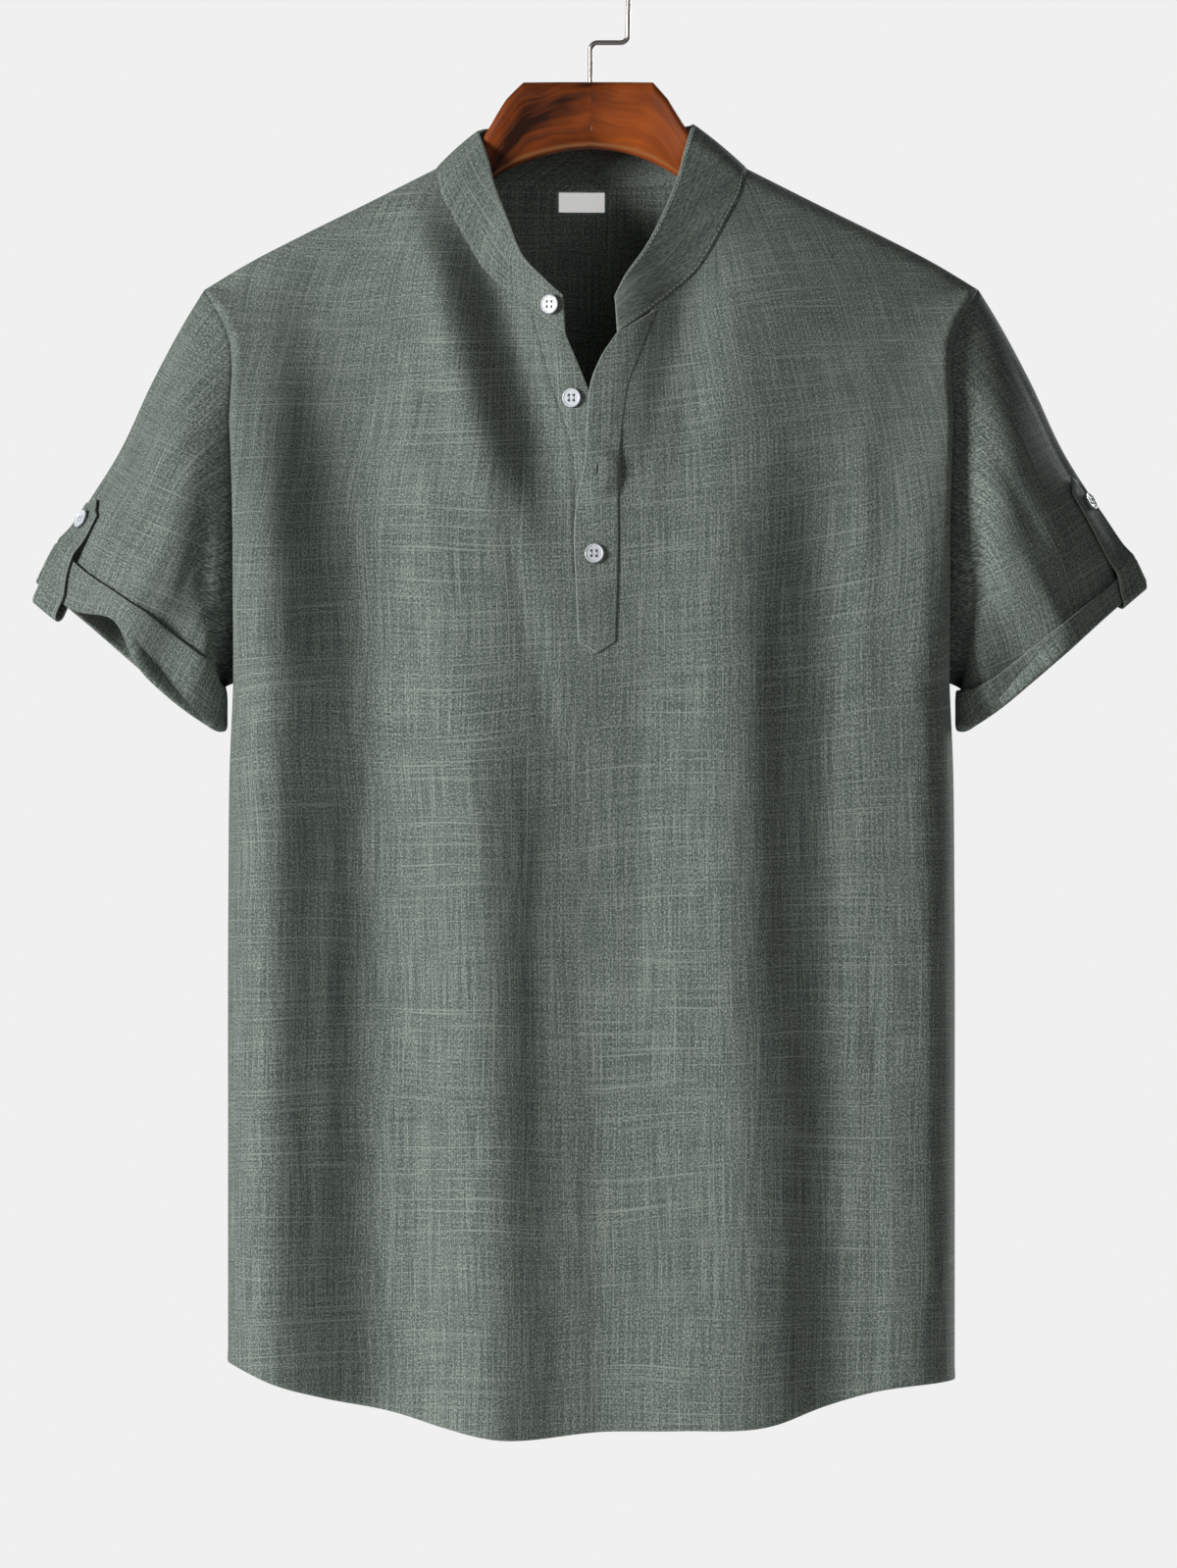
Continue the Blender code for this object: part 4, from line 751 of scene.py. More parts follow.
def sleeve_form(along, around, side):
    """A point of the sleeve: ellipse-like rings from armhole to edge, and its folds, sag and lift added.

    along 0 is the armhole and 1 the edge; around 0 is the upper ridge, 0.25 the front, 0.5 the underarm.
    """
    along, around = np.broadcast_arrays(np.asarray(along, float), np.asarray(around, float))
    up_x, up_z, down_x, down_z, fore, aft = (curve(column(SLEEVE, 0), column(SLEEVE, k), along)
                                             for k in range(1, 7))
    turn = 2 * math.pi * around
    level = np.cos(turn)
    reach = np.where(np.sin(turn) > 0, fore, aft)
    ridge = 1 + RIDGE_FOLD * smooth(along / RIDGE_FOLD_BY) * (1 + level) / 2
    pressed = PRESSED * smooth((along - PRESSED_FROM) / (1 - PRESSED_FROM))
    ridge = ridge + np.where(level > 0, pressed * (1 - level) ** PRESSED_POWER, 0)
    x = (up_x + down_x) / 2 + (up_x - down_x) / 2 * level
    z = (up_z + down_z) / 2 + (up_z - down_z) / 2 * level
    y = -reach * np.sign(np.sin(turn)) * np.abs(np.sin(turn)) ** ridge
    armhole = (SHOULDER_TIP[1] + UNDERARM_Z) / 2 + (SHOULDER_TIP[1] - UNDERARM_Z) / 2 * level
    fade = (1 - along) ** 2
    _, top_x, _, under_x, *_ = SLEEVE[0]
    x = x + (falling(TORSO, 1, armhole) - (top_x + under_x) / 2 - (top_x - under_x) / 2 * level) * fade
    bulge = np.zeros(x.shape)
    for centre, start, end, half_width, height in SLEEVE_FOLDS + SLEEVE_CREASES:
        fade_in = smooth((along - start) / SLEEVE_FOLD_IN)
        fade_out = smooth((end - along) / SLEEVE_FOLD_OUT + SLEEVE_FOLD_LEFT)
        bulge += height * fade_in * fade_out * np.exp(-((around - centre) / half_width) ** 2)
    bulge *= smooth(along / SLEEVE_FOLD_FROM)
    sag = EDGE_SAG * (1 - level ** 2) * ((1 - level) / 2) ** 2
    sag = sag * smooth((along - SAG_FROM) / (1 - SAG_FROM))
    lift = edge_lift(around, side) * smooth((along - LIFT_FROM) / (1 - LIFT_FROM))
    x = x + bulge * SLEEVE_FOLD_LEVEL * level + SAG_WAY[0] * sag + LIFT_WAY[0] * lift
    y = y - bulge * np.sin(turn)
    z = z + bulge * SLEEVE_FOLD_LEVEL * level + SAG_WAY[1] * sag + LIFT_WAY[1] * lift
    return stack(side * x, y, z)


def sleeve_point(up, around, out, side):
    """A point `up` metres from the cuff's edge and `out` metres off the sleeve's form."""
    up, around = np.broadcast_arrays(np.asarray(up, float), np.asarray(around, float))
    step = PROBE_STEP
    by_edge = sleeve_form(1.0, around, side) - sleeve_form(NEAR_EDGE, around, side)
    length = np.linalg.norm(by_edge, axis=-1) / (1 - NEAR_EDGE)
    along = np.clip(1 - up / length, 0, 1)
    here = sleeve_form(along, around, side)
    before = np.maximum(along - step, 0)
    down = unit(sleeve_form(before + step, around, side) - sleeve_form(before, around, side))
    round_it = sleeve_form(along, around + step, side) - sleeve_form(along, around - step, side)
    normal = unit(np.cross(round_it, down)) * side
    past = np.maximum(-up, 0)[..., None]
    return here + normal * np.asarray(out)[..., None] + down * past


def turned_edge(radius, base, height_in, height_out, rows_out):
    """Path round the cuff's edge: up inside at `base`, round the edge, and up outside."""
    turn = np.linspace(0, math.pi, EDGE_TURN_POINTS)
    inside = np.linspace(height_in, 0, TAB_INSIDE_STEPS + 1)[:-1] if height_in else []
    path = [(up, base) for up in inside]
    path += [(-radius * math.sin(a), base + radius * (1 - math.cos(a))) for a in turn]
    path += [(up, base + 2 * radius) for up in np.linspace(0, height_out, rows_out + 1)[1:]]
    return np.array(path)


def sleeve_grid(side):
    """Rings of the sleeve and of its turned-up cuff, as one grid."""
    ring = np.arange(2 * ARMHOLE_ROWS) / (2 * ARMHOLE_ROWS)
    height = CUFF[side][0]
    body = [sleeve_form(along, ring, side) for along in np.linspace(0, 1, SLEEVE_ROWS + 1)[:-1]]
    length = np.linalg.norm(sleeve_form(1.0, ring, side) - sleeve_form(0.0, ring, side), axis=-1)
    cut = np.minimum(1 - LIFT_LOST * edge_lift(ring, side) / height, CUFF_SHARE * length / height)
    cuff = [sleeve_point(up * np.where(up > 0, cut, 1), ring, out, side)
            for up, out in turned_edge(CUFF_TURN_R, 0.0, 0, height, CUFF_ROWS)]
    return np.array(body + cuff)


def sleeve(side):
    """Sleeve with its cuff turned up on the outside, in one sheet, cut open along the underarm.

    Flat map of the sleeve: v runs along the ridge, and u is what is left of each step round a ring,
    the root of its length squared less its rise in v squared. Flat map of the cuff: u is the length
    along its edge and v the height above it.
    """
    rows = sleeve_grid(side)
    half = ARMHOLE_ROWS
    opened = np.concatenate([rows[:, half:], rows[:, :half + 1]], axis=1)
    index = numbered(opened)
    faces = grid_faces(index)
    faces = faces if side < 0 else faces[:, ::-1]
    top_x, top_z = SLEEVE[0][1:3]
    low_x, low_z = SLEEVE[-1][1:3]
    v = -opened @ unit(np.array([side * (low_x - top_x), 0.0, low_z - top_z]))
    steps = np.linalg.norm(np.diff(opened, axis=1), axis=-1)
    steps = np.sqrt(np.maximum(steps ** 2 - np.diff(v, axis=1) ** 2, 0))
    u = np.concatenate([np.zeros((len(v), 1)), np.cumsum(steps, axis=1)], axis=1)
    u = (u - u[:, half:half + 1]) * side
    sleeve_flat = flat_map(u, v).reshape(-1, 2)
    edge_u = run_length(opened[SLEEVE_ROWS:SLEEVE_ROWS + 1], 1)
    height = run_length(opened[SLEEVE_ROWS:], 0)
    height = np.concatenate([np.zeros((SLEEVE_ROWS, opened.shape[1])), height])
    cuff_flat = flat_map(edge_u, height + CUFF_FLAT_UP).reshape(-1, 2)
    cuff_start = index[SLEEVE_ROWS + CUFF_FLAT_FROM, 0]
    in_cuff = faces.min(axis=1) >= cuff_start
    corner_flat = np.where(in_cuff[:, None, None], cuff_flat[faces], sleeve_flat[faces])
    renumber = np.arange(index.size)
    renumber[index[:, -1]] = index[:, 0]
    used = np.unique(renumber)
    again = np.full(index.size, -1)
    again[used] = np.arange(len(used))
    flat = np.where(np.arange(index.size)[:, None] > cuff_start, cuff_flat, sleeve_flat)
    made = Sheet(opened.reshape(-1, 3)[used], again[renumber[faces]], flat[used])
    made.corner_flat = corner_flat
    # The cuff's folded edge: pale yarn for wear and a painted highlight.
    made.worn_lit[again[renumber[index[-1]]]] = WORN_LIT_CUFF
    return made


def tab_path(side):
    """The tab's run: up inside the sleeve, round the cuff's edge, over the cuff and on to the sleeve."""
    clear = CLOTH + TAB_GAP
    over_cuff = 2 * CUFF_TURN_R + clear
    radius = (over_cuff + clear) / 2
    top = CUFF[side][0]
    path = turned_edge(radius, -clear, TAB_INSIDE, top + TAB_STEP[0][0], TAB_EDGE_STEPS)
    path[path[:, 0] <= 0, 0] -= TAB_DROP[side]
    above = np.linspace(TAB_STEP[0][0], TAB_STEP[-1][0], TAB_RUN_STEPS + 1)[1:]
    rise = curve(column(TAB_STEP, 0), column(TAB_STEP, 1), above)
    down = [(top + a, clear + share * (over_cuff - clear)) for a, share in zip(above, rise)]
    level = [(up, clear) for up in np.linspace(down[-1][0], TAB_TOP[side], TAB_RUN_STEPS + 1)[1:]]
    return np.concatenate([path, down, level])


def tab_middle(up, side):
    """Share of the ring where the tab's middle line is, `up` metres from the cuff's edge."""
    low, high = TAB_AROUND[side]
    return low + (high - low) * np.clip(up / TAB_TOP[side], 0, 1)


def tab_grid(side):
    """Points of the roll-up tab: at each station of its path, steps to both sides of its middle line.

    Each step is the tab's width laid off by the distance between two points TAB_PROBE to each side.
    """
    path = tab_path(side)
    across = np.linspace(-1, 1, TAB_COLUMNS + 1)
    middle = tab_middle(path[:, :1], side)
    ends = sleeve_point(path[:, :1], middle + np.array([[-1, 1]]) * TAB_PROBE, path[:, 1:], side)
    chord = np.linalg.norm(ends[:, 1] - ends[:, 0], axis=-1)[:, None]
    around = middle + across * TAB_PROBE * TAB_W / chord
    near_end = np.clip(1 - np.arange(len(path))[::-1] / TAB_POINT_ROWS, 0, 1)
    up = path[:, :1] - TAB_POINT * near_end[:, None] ** 2 * np.abs(across)
    return sleeve_point(up, around, path[:, 1:], side)


def strip_sheet(grid, flip, thickness, sewn):
    """A sheet from a grid whose flat map follows its own rows and columns."""
    faces = grid_faces(numbered(grid))
    flat = flat_map(run_length(grid, 1), -run_length(grid, 0)).reshape(-1, 2)
    return Sheet(grid.reshape(-1, 3), faces[:, ::-1] if flip else faces, flat, thickness, sewn)


# ---------------------------------------------------------------- collar, plackets and label


def band_side(side):
    """Seam points and upper edge points of the band, front corner to back middle, on one side."""
    edge = BAND_TOP_RIGHT if side < 0 else BAND_TOP_LEFT
    front_x, front_z = neck_line(NECK_FRONT, NECK_COLUMNS)
    back_x, back_z = neck_line(NECK_BACK, NECK_COLUMNS)
    start = np.linspace(0, 1, BAND_CORNER + 1)[:-1, None]
    corner = start * (np.array([front_x[-1], front_z[-1]]) - NECK_CORNER) + NECK_CORNER
    seam_front = np.concatenate([corner, np.stack([front_x, front_z], 1)[::-1]])
    seam_back = np.stack([back_x, back_z], 1)[1:]
    seam = np.concatenate([seam_front, seam_back])
    y = np.concatenate([torso_y(seam_front[:, 0] * side, seam_front[:, 1], True),
                        torso_y(seam_back[:, 0] * side, seam_back[:, 1], False)])
    y[len(seam_front) - 1] = 0.0        # the neck point, where front and back meet
    low = stack(side * seam[:, 0], y, seam[:, 1])
    front_at = curve(column(BAND_TOP, 1), np.arange(len(BAND_TOP)), seam_front[:, 1])
    back_at = np.linspace(0, len(BAND_TOP_BACK) - 1, len(seam_back) + 1)[1:]
    tops = []
    for table, at in ((BAND_TOP, front_at), (BAND_TOP_BACK, back_at)):
        top_x, top_y, top_z = (curve(np.arange(len(table)), column(table, k), at)
                               for k in (edge, BAND_TOP_Y, edge + 1))
        tops.append(stack(side * top_x, top_y, top_z))
    return low, np.concatenate(tops)


def band_grid():
    """Stand collar: straight lines from the seam to its free edge, rolled a little upward between them."""
    sides = {side: band_side(side) for side in (-1, 1)}
    low = np.concatenate([sides[-1][0], sides[1][0][-2::-1]])
    top = np.concatenate([sides[-1][1], sides[1][1][-2::-1]])
    share = np.linspace(0, 1, BAND_ROWS + 1)[:, None, None]
    rows = low + (top - low) * share
    rows[..., 2] += BAND_ROLL * np.sin(math.pi * share[..., 0]) ** BAND_ROLL_POWER
    return rows


def strip_rows(table, stations, columns):
    """x, z of a placket strip's points at stations down its table."""
    at = np.arange(len(table))
    edge = [curve(at, column(table, k), stations)[:, None] for k in range(4)]
    share = np.linspace(0, 1, columns)[None, :]
    return edge[0] + (edge[2] - edge[0]) * share, edge[1] + (edge[3] - edge[1]) * share


def planar_flat(grid):
    """Flat map that goes on from the front's: u from the left edge's x, v the height less the weft's rise."""
    v = grid[..., 2] - weft_rise(grid[..., 0], grid[..., 2])
    return flat_map(grid[:, :1, 0] + run_length(grid, 1), v)


def placket_under_grid():
    """Lower strip: level with the front, from the slit's edge on the wearer's right."""
    panel_edge = half_panel(-1, True)[:ARMHOLE_ROWS + 1, 0]
    left_z = panel_edge[:, 2]
    stations = curve([-h for h in column(PLACKET_UNDER, 1)], np.arange(len(PLACKET_UNDER)), -left_z)
    x, z = strip_rows(PLACKET_UNDER, stations, STRIP_COLUMNS)
    x[:, 0] = panel_edge[:, 0]
    z[:, 0] = left_z
    return stack(x, torso_y(x, z, True), z)


def placket_top_grid():
    """Upper strip: the front's form moved out, lifted round the button under it, with a pointed end."""
    stations = np.linspace(0, len(PLACKET_TOP) - 1, STRIP_ROWS + 1)
    x, z = strip_rows(PLACKET_TOP, stations, STRIP_COLUMNS + 1)
    across = np.linspace(0, 1, STRIP_COLUMNS + 1)
    near_end = np.clip(1 - np.arange(STRIP_ROWS + 1)[::-1] / PLACKET_POINT_ROWS, 0, 1)
    z -= PLACKET_POINT * near_end[:, None] * (1 - np.abs(2 * across - 1))
    away = np.hypot(x - BUMP_AT[0], z - BUMP_AT[1])
    to_right = smooth((across - STRIP_SINK_FROM) / (1 - STRIP_SINK_FROM))
    sink = STRIP_SINK * to_right * smooth((z - STRIP_SINK_Z[0]) / (STRIP_SINK_Z[1] - STRIP_SINK_Z[0]))
    near_button = smooth((BUMP_R[1] - away) / (BUMP_R[1] - BUMP_R[0]))
    bump = (BUMP_H + CLOTH + LAY_GAP - STRIP_LIE) * near_button
    return stack(x, torso_y(x, z, True) - STRIP_LIE * (1 - sink) - bump, z)


def placket_top():
    """Upper strip with its buttonhole: one column doubled along the slit, and its two edges drawn apart."""
    grid = placket_top_grid()
    rows, columns = grid.shape[:2]
    slit_column = int(np.argmin(np.abs(grid[rows // 2, :, 0] - BUMP_AT[0])))
    t = (grid[:, slit_column, 2] - BUMP_AT[1]) / (BUTTONHOLE_LENGTH / 2)
    open_by = BUTTONHOLE_GAPE / 2 * np.sqrt(np.clip(1 - t ** 2, 0, 1))
    width = np.abs(grid[..., 0] - grid[:, slit_column:slit_column + 1, 0])
    move = open_by[:, None] * np.exp(-width / SLIT_FADE)
    grid[:, :slit_column, 0] -= move[:, :slit_column]
    grid[:, slit_column + 1:, 0] += move[:, slit_column + 1:]
    index = numbered(grid)
    doubled = np.abs(t) < 1
    extra = np.arange(doubled.sum()) + rows * columns
    right_index = index.copy()
    right_index[doubled, slit_column] = extra
    faces = np.concatenate([grid_faces(index[:, :slit_column + 1]),
                            grid_faces(right_index[:, slit_column:])])
    flat = planar_flat(grid).reshape(-1, 2)
    points = grid.reshape(-1, 3)
    right_edge = grid[doubled, slit_column] + np.stack([open_by[doubled], 0 * extra, 0 * extra], 1)
    points[index[doubled, slit_column], 0] -= open_by[doubled]
    points = np.concatenate([points, right_edge])
    flat = np.concatenate([flat, flat[index[doubled, slit_column]]])
    return grid, Sheet(points, faces, flat, DOUBLE, sewn=False)


def label_grid():
    """Blank label on the inside of the back, below the collar seam: the back's form moved inward."""
    x = np.linspace(LABEL[0], LABEL[1], LABEL_COLUMNS + 1)[None, :]
    z = np.linspace(LABEL[2], LABEL[3], LABEL_ROWS + 1)[:, None]
    x, z = np.broadcast_arrays(x, z)
    return stack(x, torso_y(x, z, False) - CLOTH - LAY_GAP, z)


# ---------------------------------------------------------------- surfaces of the hard pieces
# A surface is its points, its faces as a list of arrays of point numbers, and its flat map.


def button_surface():
    """Round button: rings whose height has a raised rim, a dished middle and four pits, closed below."""
    inner_r = BUTTON_R - BUTTON_RIM
    rim = inner_r + BUTTON_RIM * np.sin(np.linspace(0, math.pi / 2, BUTTON_RIM_RINGS + 1)[1:])
    rings = np.concatenate([np.linspace(0, inner_r, BUTTON_RINGS), rim])[:, None]
    turn = np.linspace(0, 2 * math.pi, BUTTON_SIDES, endpoint=False)
    x, y = rings * np.cos(turn), rings * np.sin(turn)
    in_rim = np.clip((rings - inner_r) / BUTTON_RIM, 0, 1)
    dish = BUTTON_DISH * smooth((BUTTON_R - BUTTON_DISH_IN - rings) / BUTTON_DISH_EASE)
    top = BUTTON_T - dish - BUTTON_SHOULDER * (1 - np.sqrt(1 - in_rim ** 2))
    away = np.hypot(np.abs(x) - BUTTON_HOLE_AT, np.abs(y) - BUTTON_HOLE_AT)
    pits = smooth((BUTTON_HOLE_R - away) / BUTTON_HOLE_EASE + 0.5)
    top = top - pits * (BUTTON_T - BUTTON_DISH - BUTTON_FLOOR)
    below = [stack(radius * np.cos(turn), radius * np.sin(turn), height) for radius, height in BUTTON_BELOW]
    grid = np.concatenate([stack(x, y, top), below])
    return grid.reshape(-1, 3), [grid_faces(numbered(grid), closed=True)], grid[..., :2].reshape(-1, 2)


def thread_surface():
    """Sewing thread of a button: two arcs side by side, each from one hole to the next."""
    turn = np.linspace(0, math.pi, THREAD_STEPS + 1)
    y = -BUTTON_HOLE_AT * np.cos(turn)
    z = BUTTON_T - BUTTON_DISH - THREAD_SUNK + THREAD_RISE * np.sin(turn)
    lines = [stack(x, y, z) for x in (-BUTTON_HOLE_AT, BUTTON_HOLE_AT)]
    return merge([tube_surface(line, THREAD_R, THREAD_SIDES, (1, 0, 0), THREAD_CAP) for line in lines])


def merge(parts):
    """Several surfaces as one."""
    starts = np.cumsum([0] + [len(points) for points, _, _ in parts])
    faces = [block + start for start, (_, blocks, _) in zip(starts, parts) for block in blocks]
    return (np.concatenate([points for points, _, _ in parts]), faces,
            np.concatenate([flat for _, _, flat in parts]))


def tube_surface(line, radius, sides, across, cap):
    """A round wire along a smooth line that lies in a plane, with round closed ends.

    Each circle is across * cos + (ahead x across) * sin, where across is square to the line's plane;
    cap holds the radii of an end's smaller circles, as shares of the wire's.
    """
    ahead = unit(np.gradient(line, axis=0))
    cap = np.array(cap)
    beyond = radius * np.sqrt(1 - cap ** 2)[:, None]
    centres = np.concatenate([line[0] - ahead[0] * beyond, line, line[-1] + ahead[-1] * beyond[::-1]])
    sizes = np.concatenate([cap, np.ones(len(line)), cap[::-1]])[:, None, None]
    nearest = np.clip(np.arange(len(centres)) - len(cap), 0, len(line) - 1)
    other = np.cross(ahead, across)[nearest]
    turn = np.linspace(0, 2 * math.pi, sides, endpoint=False)[:, None]
    ring = np.array(across) * np.cos(turn) + other[:, None] * np.sin(turn)
    grid = centres[:, None] + radius * sizes * ring
    index = numbered(grid)
    faces = [grid_faces(index, closed=True)[:, ::-1], index[:1], index[-1:, ::-1]]
    flat = flat_map(np.arange(len(grid))[:, None] * TUBE_FLAT_STEP, turn[:, 0] * radius)
    return grid.reshape(-1, 3), faces, flat.reshape(-1, 2)


def arc(centre, radius, start, end, steps):
    """Points of an arc in the XZ plane, angles in degrees from +X."""
    turn = np.radians(np.linspace(start, end, steps + 1))
    return stack(centre[0] + radius * np.cos(turn), 0.0, centre[1] + radius * np.sin(turn))


def hook_line():
    """Centre line of the wire: shank, two corners and the round bend."""
    corner = HOOK_CORNER_R
    shank_z = np.linspace(SHANK_LOW_Z, HOOK_KINK_Z - corner, SHANK_STEPS + 1)[:-1]
    out_x = HOOK_R + HOOK_SHANK_X - corner
    return np.concatenate([
        stack(HOOK_SHANK_X, 0.0, shank_z),
        arc((HOOK_SHANK_X + corner, HOOK_KINK_Z - corner), corner, 180, 90, CORNER_STEPS),
        arc((out_x, HOOK_KINK_Z + corner), corner, -90, 0, CORNER_STEPS),
        arc((0.0, WIRE_R - HOOK_R), HOOK_R, 0, HOOK_END_ANGLE, BEND_STEPS),
    ])


def signed_power(values, power):
    """Values to a power, with their signs kept."""
    return np.sign(values) * np.abs(values) ** power


def wood_surface(side):
    """One wooden half: superellipse sections along the profile, closed at the joint and at the tip.

    With the surface comes its pale-edge share, a bell round the height of its lower edges, where a painted
    highlight and rubbed bare wood show.
    """
    x = np.linspace(WOOD_JOINT / 2, HANGER[-1][0], WOOD_SECTIONS)
    step = NECK_STEP[side] * np.exp(-((x - NECK_STEP_X) / NECK_STEP_W) ** 2)
    xs = column(HANGER, 0)
    top = np.interp(x, xs, column(HANGER, 1))
    low = curve(xs, column(HANGER, 2), x)
    tip = np.sqrt(1 - np.clip((x - WOOD_TIP_X) / WOOD_TIP_W, 0, WOOD_TIP_TO) ** 2)
    thick = (curve(xs, column(HANGER, 3), x) * tip)[:, None]
    middle = ((top + low) / 2)[:, None]
    half = ((top - low) / 2 * tip)[:, None]
    turn = np.linspace(0, 2 * math.pi, WOOD_SIDES, endpoint=False)[None, :]
    run_out = smooth((x - EDGE_ROUND_X[0]) / (EDGE_ROUND_X[1] - EDGE_ROUND_X[0]))
    power = (EDGE_ROUND[0] + (EDGE_ROUND[1] - EDGE_ROUND[0]) * run_out)[:, None]
    round_y = signed_power(np.sin(turn), power)
    round_z = signed_power(np.cos(turn), power)
    grid = stack(side * (x + step)[:, None], -thick * round_y, middle + half * round_z)
    index = numbered(grid)
    faces = [grid_faces(index, closed=True), index[:1], index[-1:, ::-1]]
    if side < 0:
        faces = [block[:, ::-1] for block in faces]
    along = run_length(stack(x, 0, middle[:, 0])[:, None], 0)
    flat = flat_map(along, half * round_z).reshape(-1, 2)
    outer = smooth((np.abs(round_y) - WORN_LIT_WOOD_FROM[0]) / (WORN_LIT_WOOD_FROM[1] - WORN_LIT_WOOD_FROM[0]))
    worn_lit = outer * np.exp(-((round_z + WORN_LIT_WOOD_AT) / WORN_LIT_WOOD_WIDTH) ** 2)
    return (grid.reshape(-1, 3), faces, flat), worn_lit.ravel()


def sampled(values, run, at):
    """Rows of three values at distances along a line."""
    return np.stack([np.interp(at, run, values[:, k]) for k in range(3)], axis=1)


def stitch_row(line, normals, lift):
    """Stitches along a line on cloth: at each pitch an ellipsoid, long along the line, half sunk."""
    run = run_length(line[:, None], 0)[:, 0]
    at = np.arange(STITCH_PITCH / 2, run[-1], STITCH_PITCH)
    along = unit(sampled(line, run, at + STITCH_PROBE) - sampled(line, run, at - STITCH_PROBE))
    up = sampled(normals, run, at)
    up = unit(up - along * (up * along).sum(1, keepdims=True))
    middle = sampled(line, run, at) + up * lift
    axes = np.stack([along, np.cross(along, up), up], axis=1)
    lengthwise = np.linspace(0, math.pi, STITCH_RINGS + 2)[1:-1, None]
    turn = np.linspace(0, 2 * math.pi, STITCH_SIDES, endpoint=False)
    ball = stack(np.cos(lengthwise), np.sin(lengthwise) * np.cos(turn), np.sin(lengthwise) * np.sin(turn))
    length, width, height = STITCH
    one = ball.reshape(-1, 3) * (length / 2, width / 2, height)
    points = middle[:, None] + one @ axes
    index = numbered(ball)
    starts = np.arange(len(at))[:, None, None] * index.size
    blocks = (grid_faces(index, closed=True), index[:1, ::-1], index[-1:])
    faces = [(block + starts).reshape(-1, block.shape[1]) for block in blocks]
    return points.reshape(-1, 3), faces, np.zeros((len(at) * index.size, 2))


def line_at(grid, at, axis):
    """Points along a fractional row (axis 0) or column (axis 1) of a grid."""
    low = int(math.floor(at))
    before, after = np.take(grid, low, axis), np.take(grid, low + 1, axis)
    return before + (after - before) * (at - low)


def grid_normals(grid, flip):
    """Normals of a grid from its two directions."""
    normal = unit(np.cross(np.gradient(grid, axis=1), np.gradient(grid, axis=0)))
    return -normal if flip else normal


# ---------------------------------------------------------------- Blender objects


def add_object(name, data):
    """An object in the scene's own collection."""
    made = bpy.data.objects.new(name, data)
    bpy.context.scene.collection.objects.link(made)
    return made


def new_mesh(name, points, faces):
    """A mesh from an array of points and a list of arrays of faces."""
    mesh = bpy.data.meshes.new(name)
    mesh.from_pydata(points.tolist(), [], [face for block in faces for face in block.tolist()])
    mesh.update()
    return mesh


def add_piece(name, surface, material, corner_flat=None, worn_lit=None):
    """A piece that rides on root: a surface with its flat map as UVs, its shares of wear and painted
    highlight, and its material.

    corner_flat replaces the flat map at the first corners of the faces.
    """
    points, faces, flat = surface
    mesh = new_mesh(name, points, faces)
    corners = np.empty(len(mesh.loops), np.int32)
    mesh.loops.foreach_get("vertex_index", corners)
    uv = flat[corners]
    if corner_flat is not None:
        uv[:len(corner_flat)] = corner_flat
    layer = mesh.uv_layers.new(name="flat_cut")
    layer.data.foreach_set("uv", uv.astype(np.float32).ravel())
    if worn_lit is not None:
        # Shares of wear and painted highlight at the edges, for the material.
        share = mesh.attributes.new("worn_lit_edge", "FLOAT", "POINT")
        share.data.foreach_set("value", worn_lit.astype(np.float32))
    mesh.shade_smooth()
    mesh.materials.append(material)
    made = add_object(name, mesh)
    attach(made, "root")
    return made


def add_sheet(name, sheet, material, slot, node):
    """The wall of a sheet as a piece that stands for its CAD node."""
    points, faces, flat, worn_lit = sheet.wall()
    corner = sheet.corner_flat
    if corner is not None:
        corner = np.concatenate([corner, corner[:, ::-1]]).reshape(-1, 2)
    made = add_piece(name, (points, [faces], flat), material, corner_flat=corner, worn_lit=worn_lit)
    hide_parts(node)
    return made


# ---------------------------------------------------------------- node groups and materials
NODE_STEP = (200, -320)
NODES_IN_ROW = 8
MIX_SHARE, MIX_FIRST, MIX_SECOND, MIX_RESULT = 0, 6, 7, 2      # colour sockets of a Mix node
NOISE_ROUGHNESS = 0.6

WEAVE = {  # features per metre along u and v, detail, start
    "grain": ((950, 800), 2, (0, 0, 0)),
    "weft": ((22, 1250), 1, (0, 0, 0)),
    "warp": ((1250, 24), 1, (3.1, 7.7, 0)),
    "warp_long": ((520, 9), 1, (5.3, 1.9, 0)),
    "patch": ((60, 45), 2, (9.1, 4.2, 0)),
    "weft_slub": ((9, 1050), 1, (2.2, 8.8, 0)),
    "warp_slub": ((1050, 8), 1, (6.4, 3.3, 0)),
}
WEAVE_WEIGHTS = {"grain": 0.60, "weft": 0.13, "warp": 0.22, "warp_long": 0.10, "patch": 0.05}
WEAVE_SWAY = (6.0, 1.0, (0.006, 0.022, 0))       # features per metre, detail, reach
WEAVE_TONES = (0.42, 0.68)                       # of the darkest and the palest yarn
WEFT_SLUB_FROM = (0.63, 0.75)
WARP_SLUB_FROM = (0.67, 0.79)
WORN_LIT_CLOTH = (0.35, 1.0, 0.0, 0.55)              # shares of wear and painted highlight, and how pale the yarn gets there
WEAVE_ROUGHNESS = (0.92, 0.78)                   # of plain yarn, of slubs
CLOTH_BUMP = (0.35, 0.0004)                      # strength, distance
CLOTH_SHADER = {"Sheen Weight": 0.12, "Sheen Roughness": 0.5, "Specular IOR Level": 0.18}
DARK_YARN = (0.050, 0.066, 0.066, 1)
YARN = (0.106, 0.127, 0.112, 1)
PALE_YARN = (0.252, 0.290, 0.248, 1)
CLOTHS = {  # share of slubs, where on the weave the piece is cut
    "grey_green_linen": (0.70, (0, 0, 0)),
    "grey_green_linen_back": (0.70, (0.31, 0.17, 0)),
    "grey_green_linen_sleeve": (0.65, (0.9, 0.4, 0)),
    "grey_green_linen_band": (0.55, (0.5, 1.4, 0)),
    "grey_green_linen_tab": (0.35, (1.5, 0.8, 0)),
}

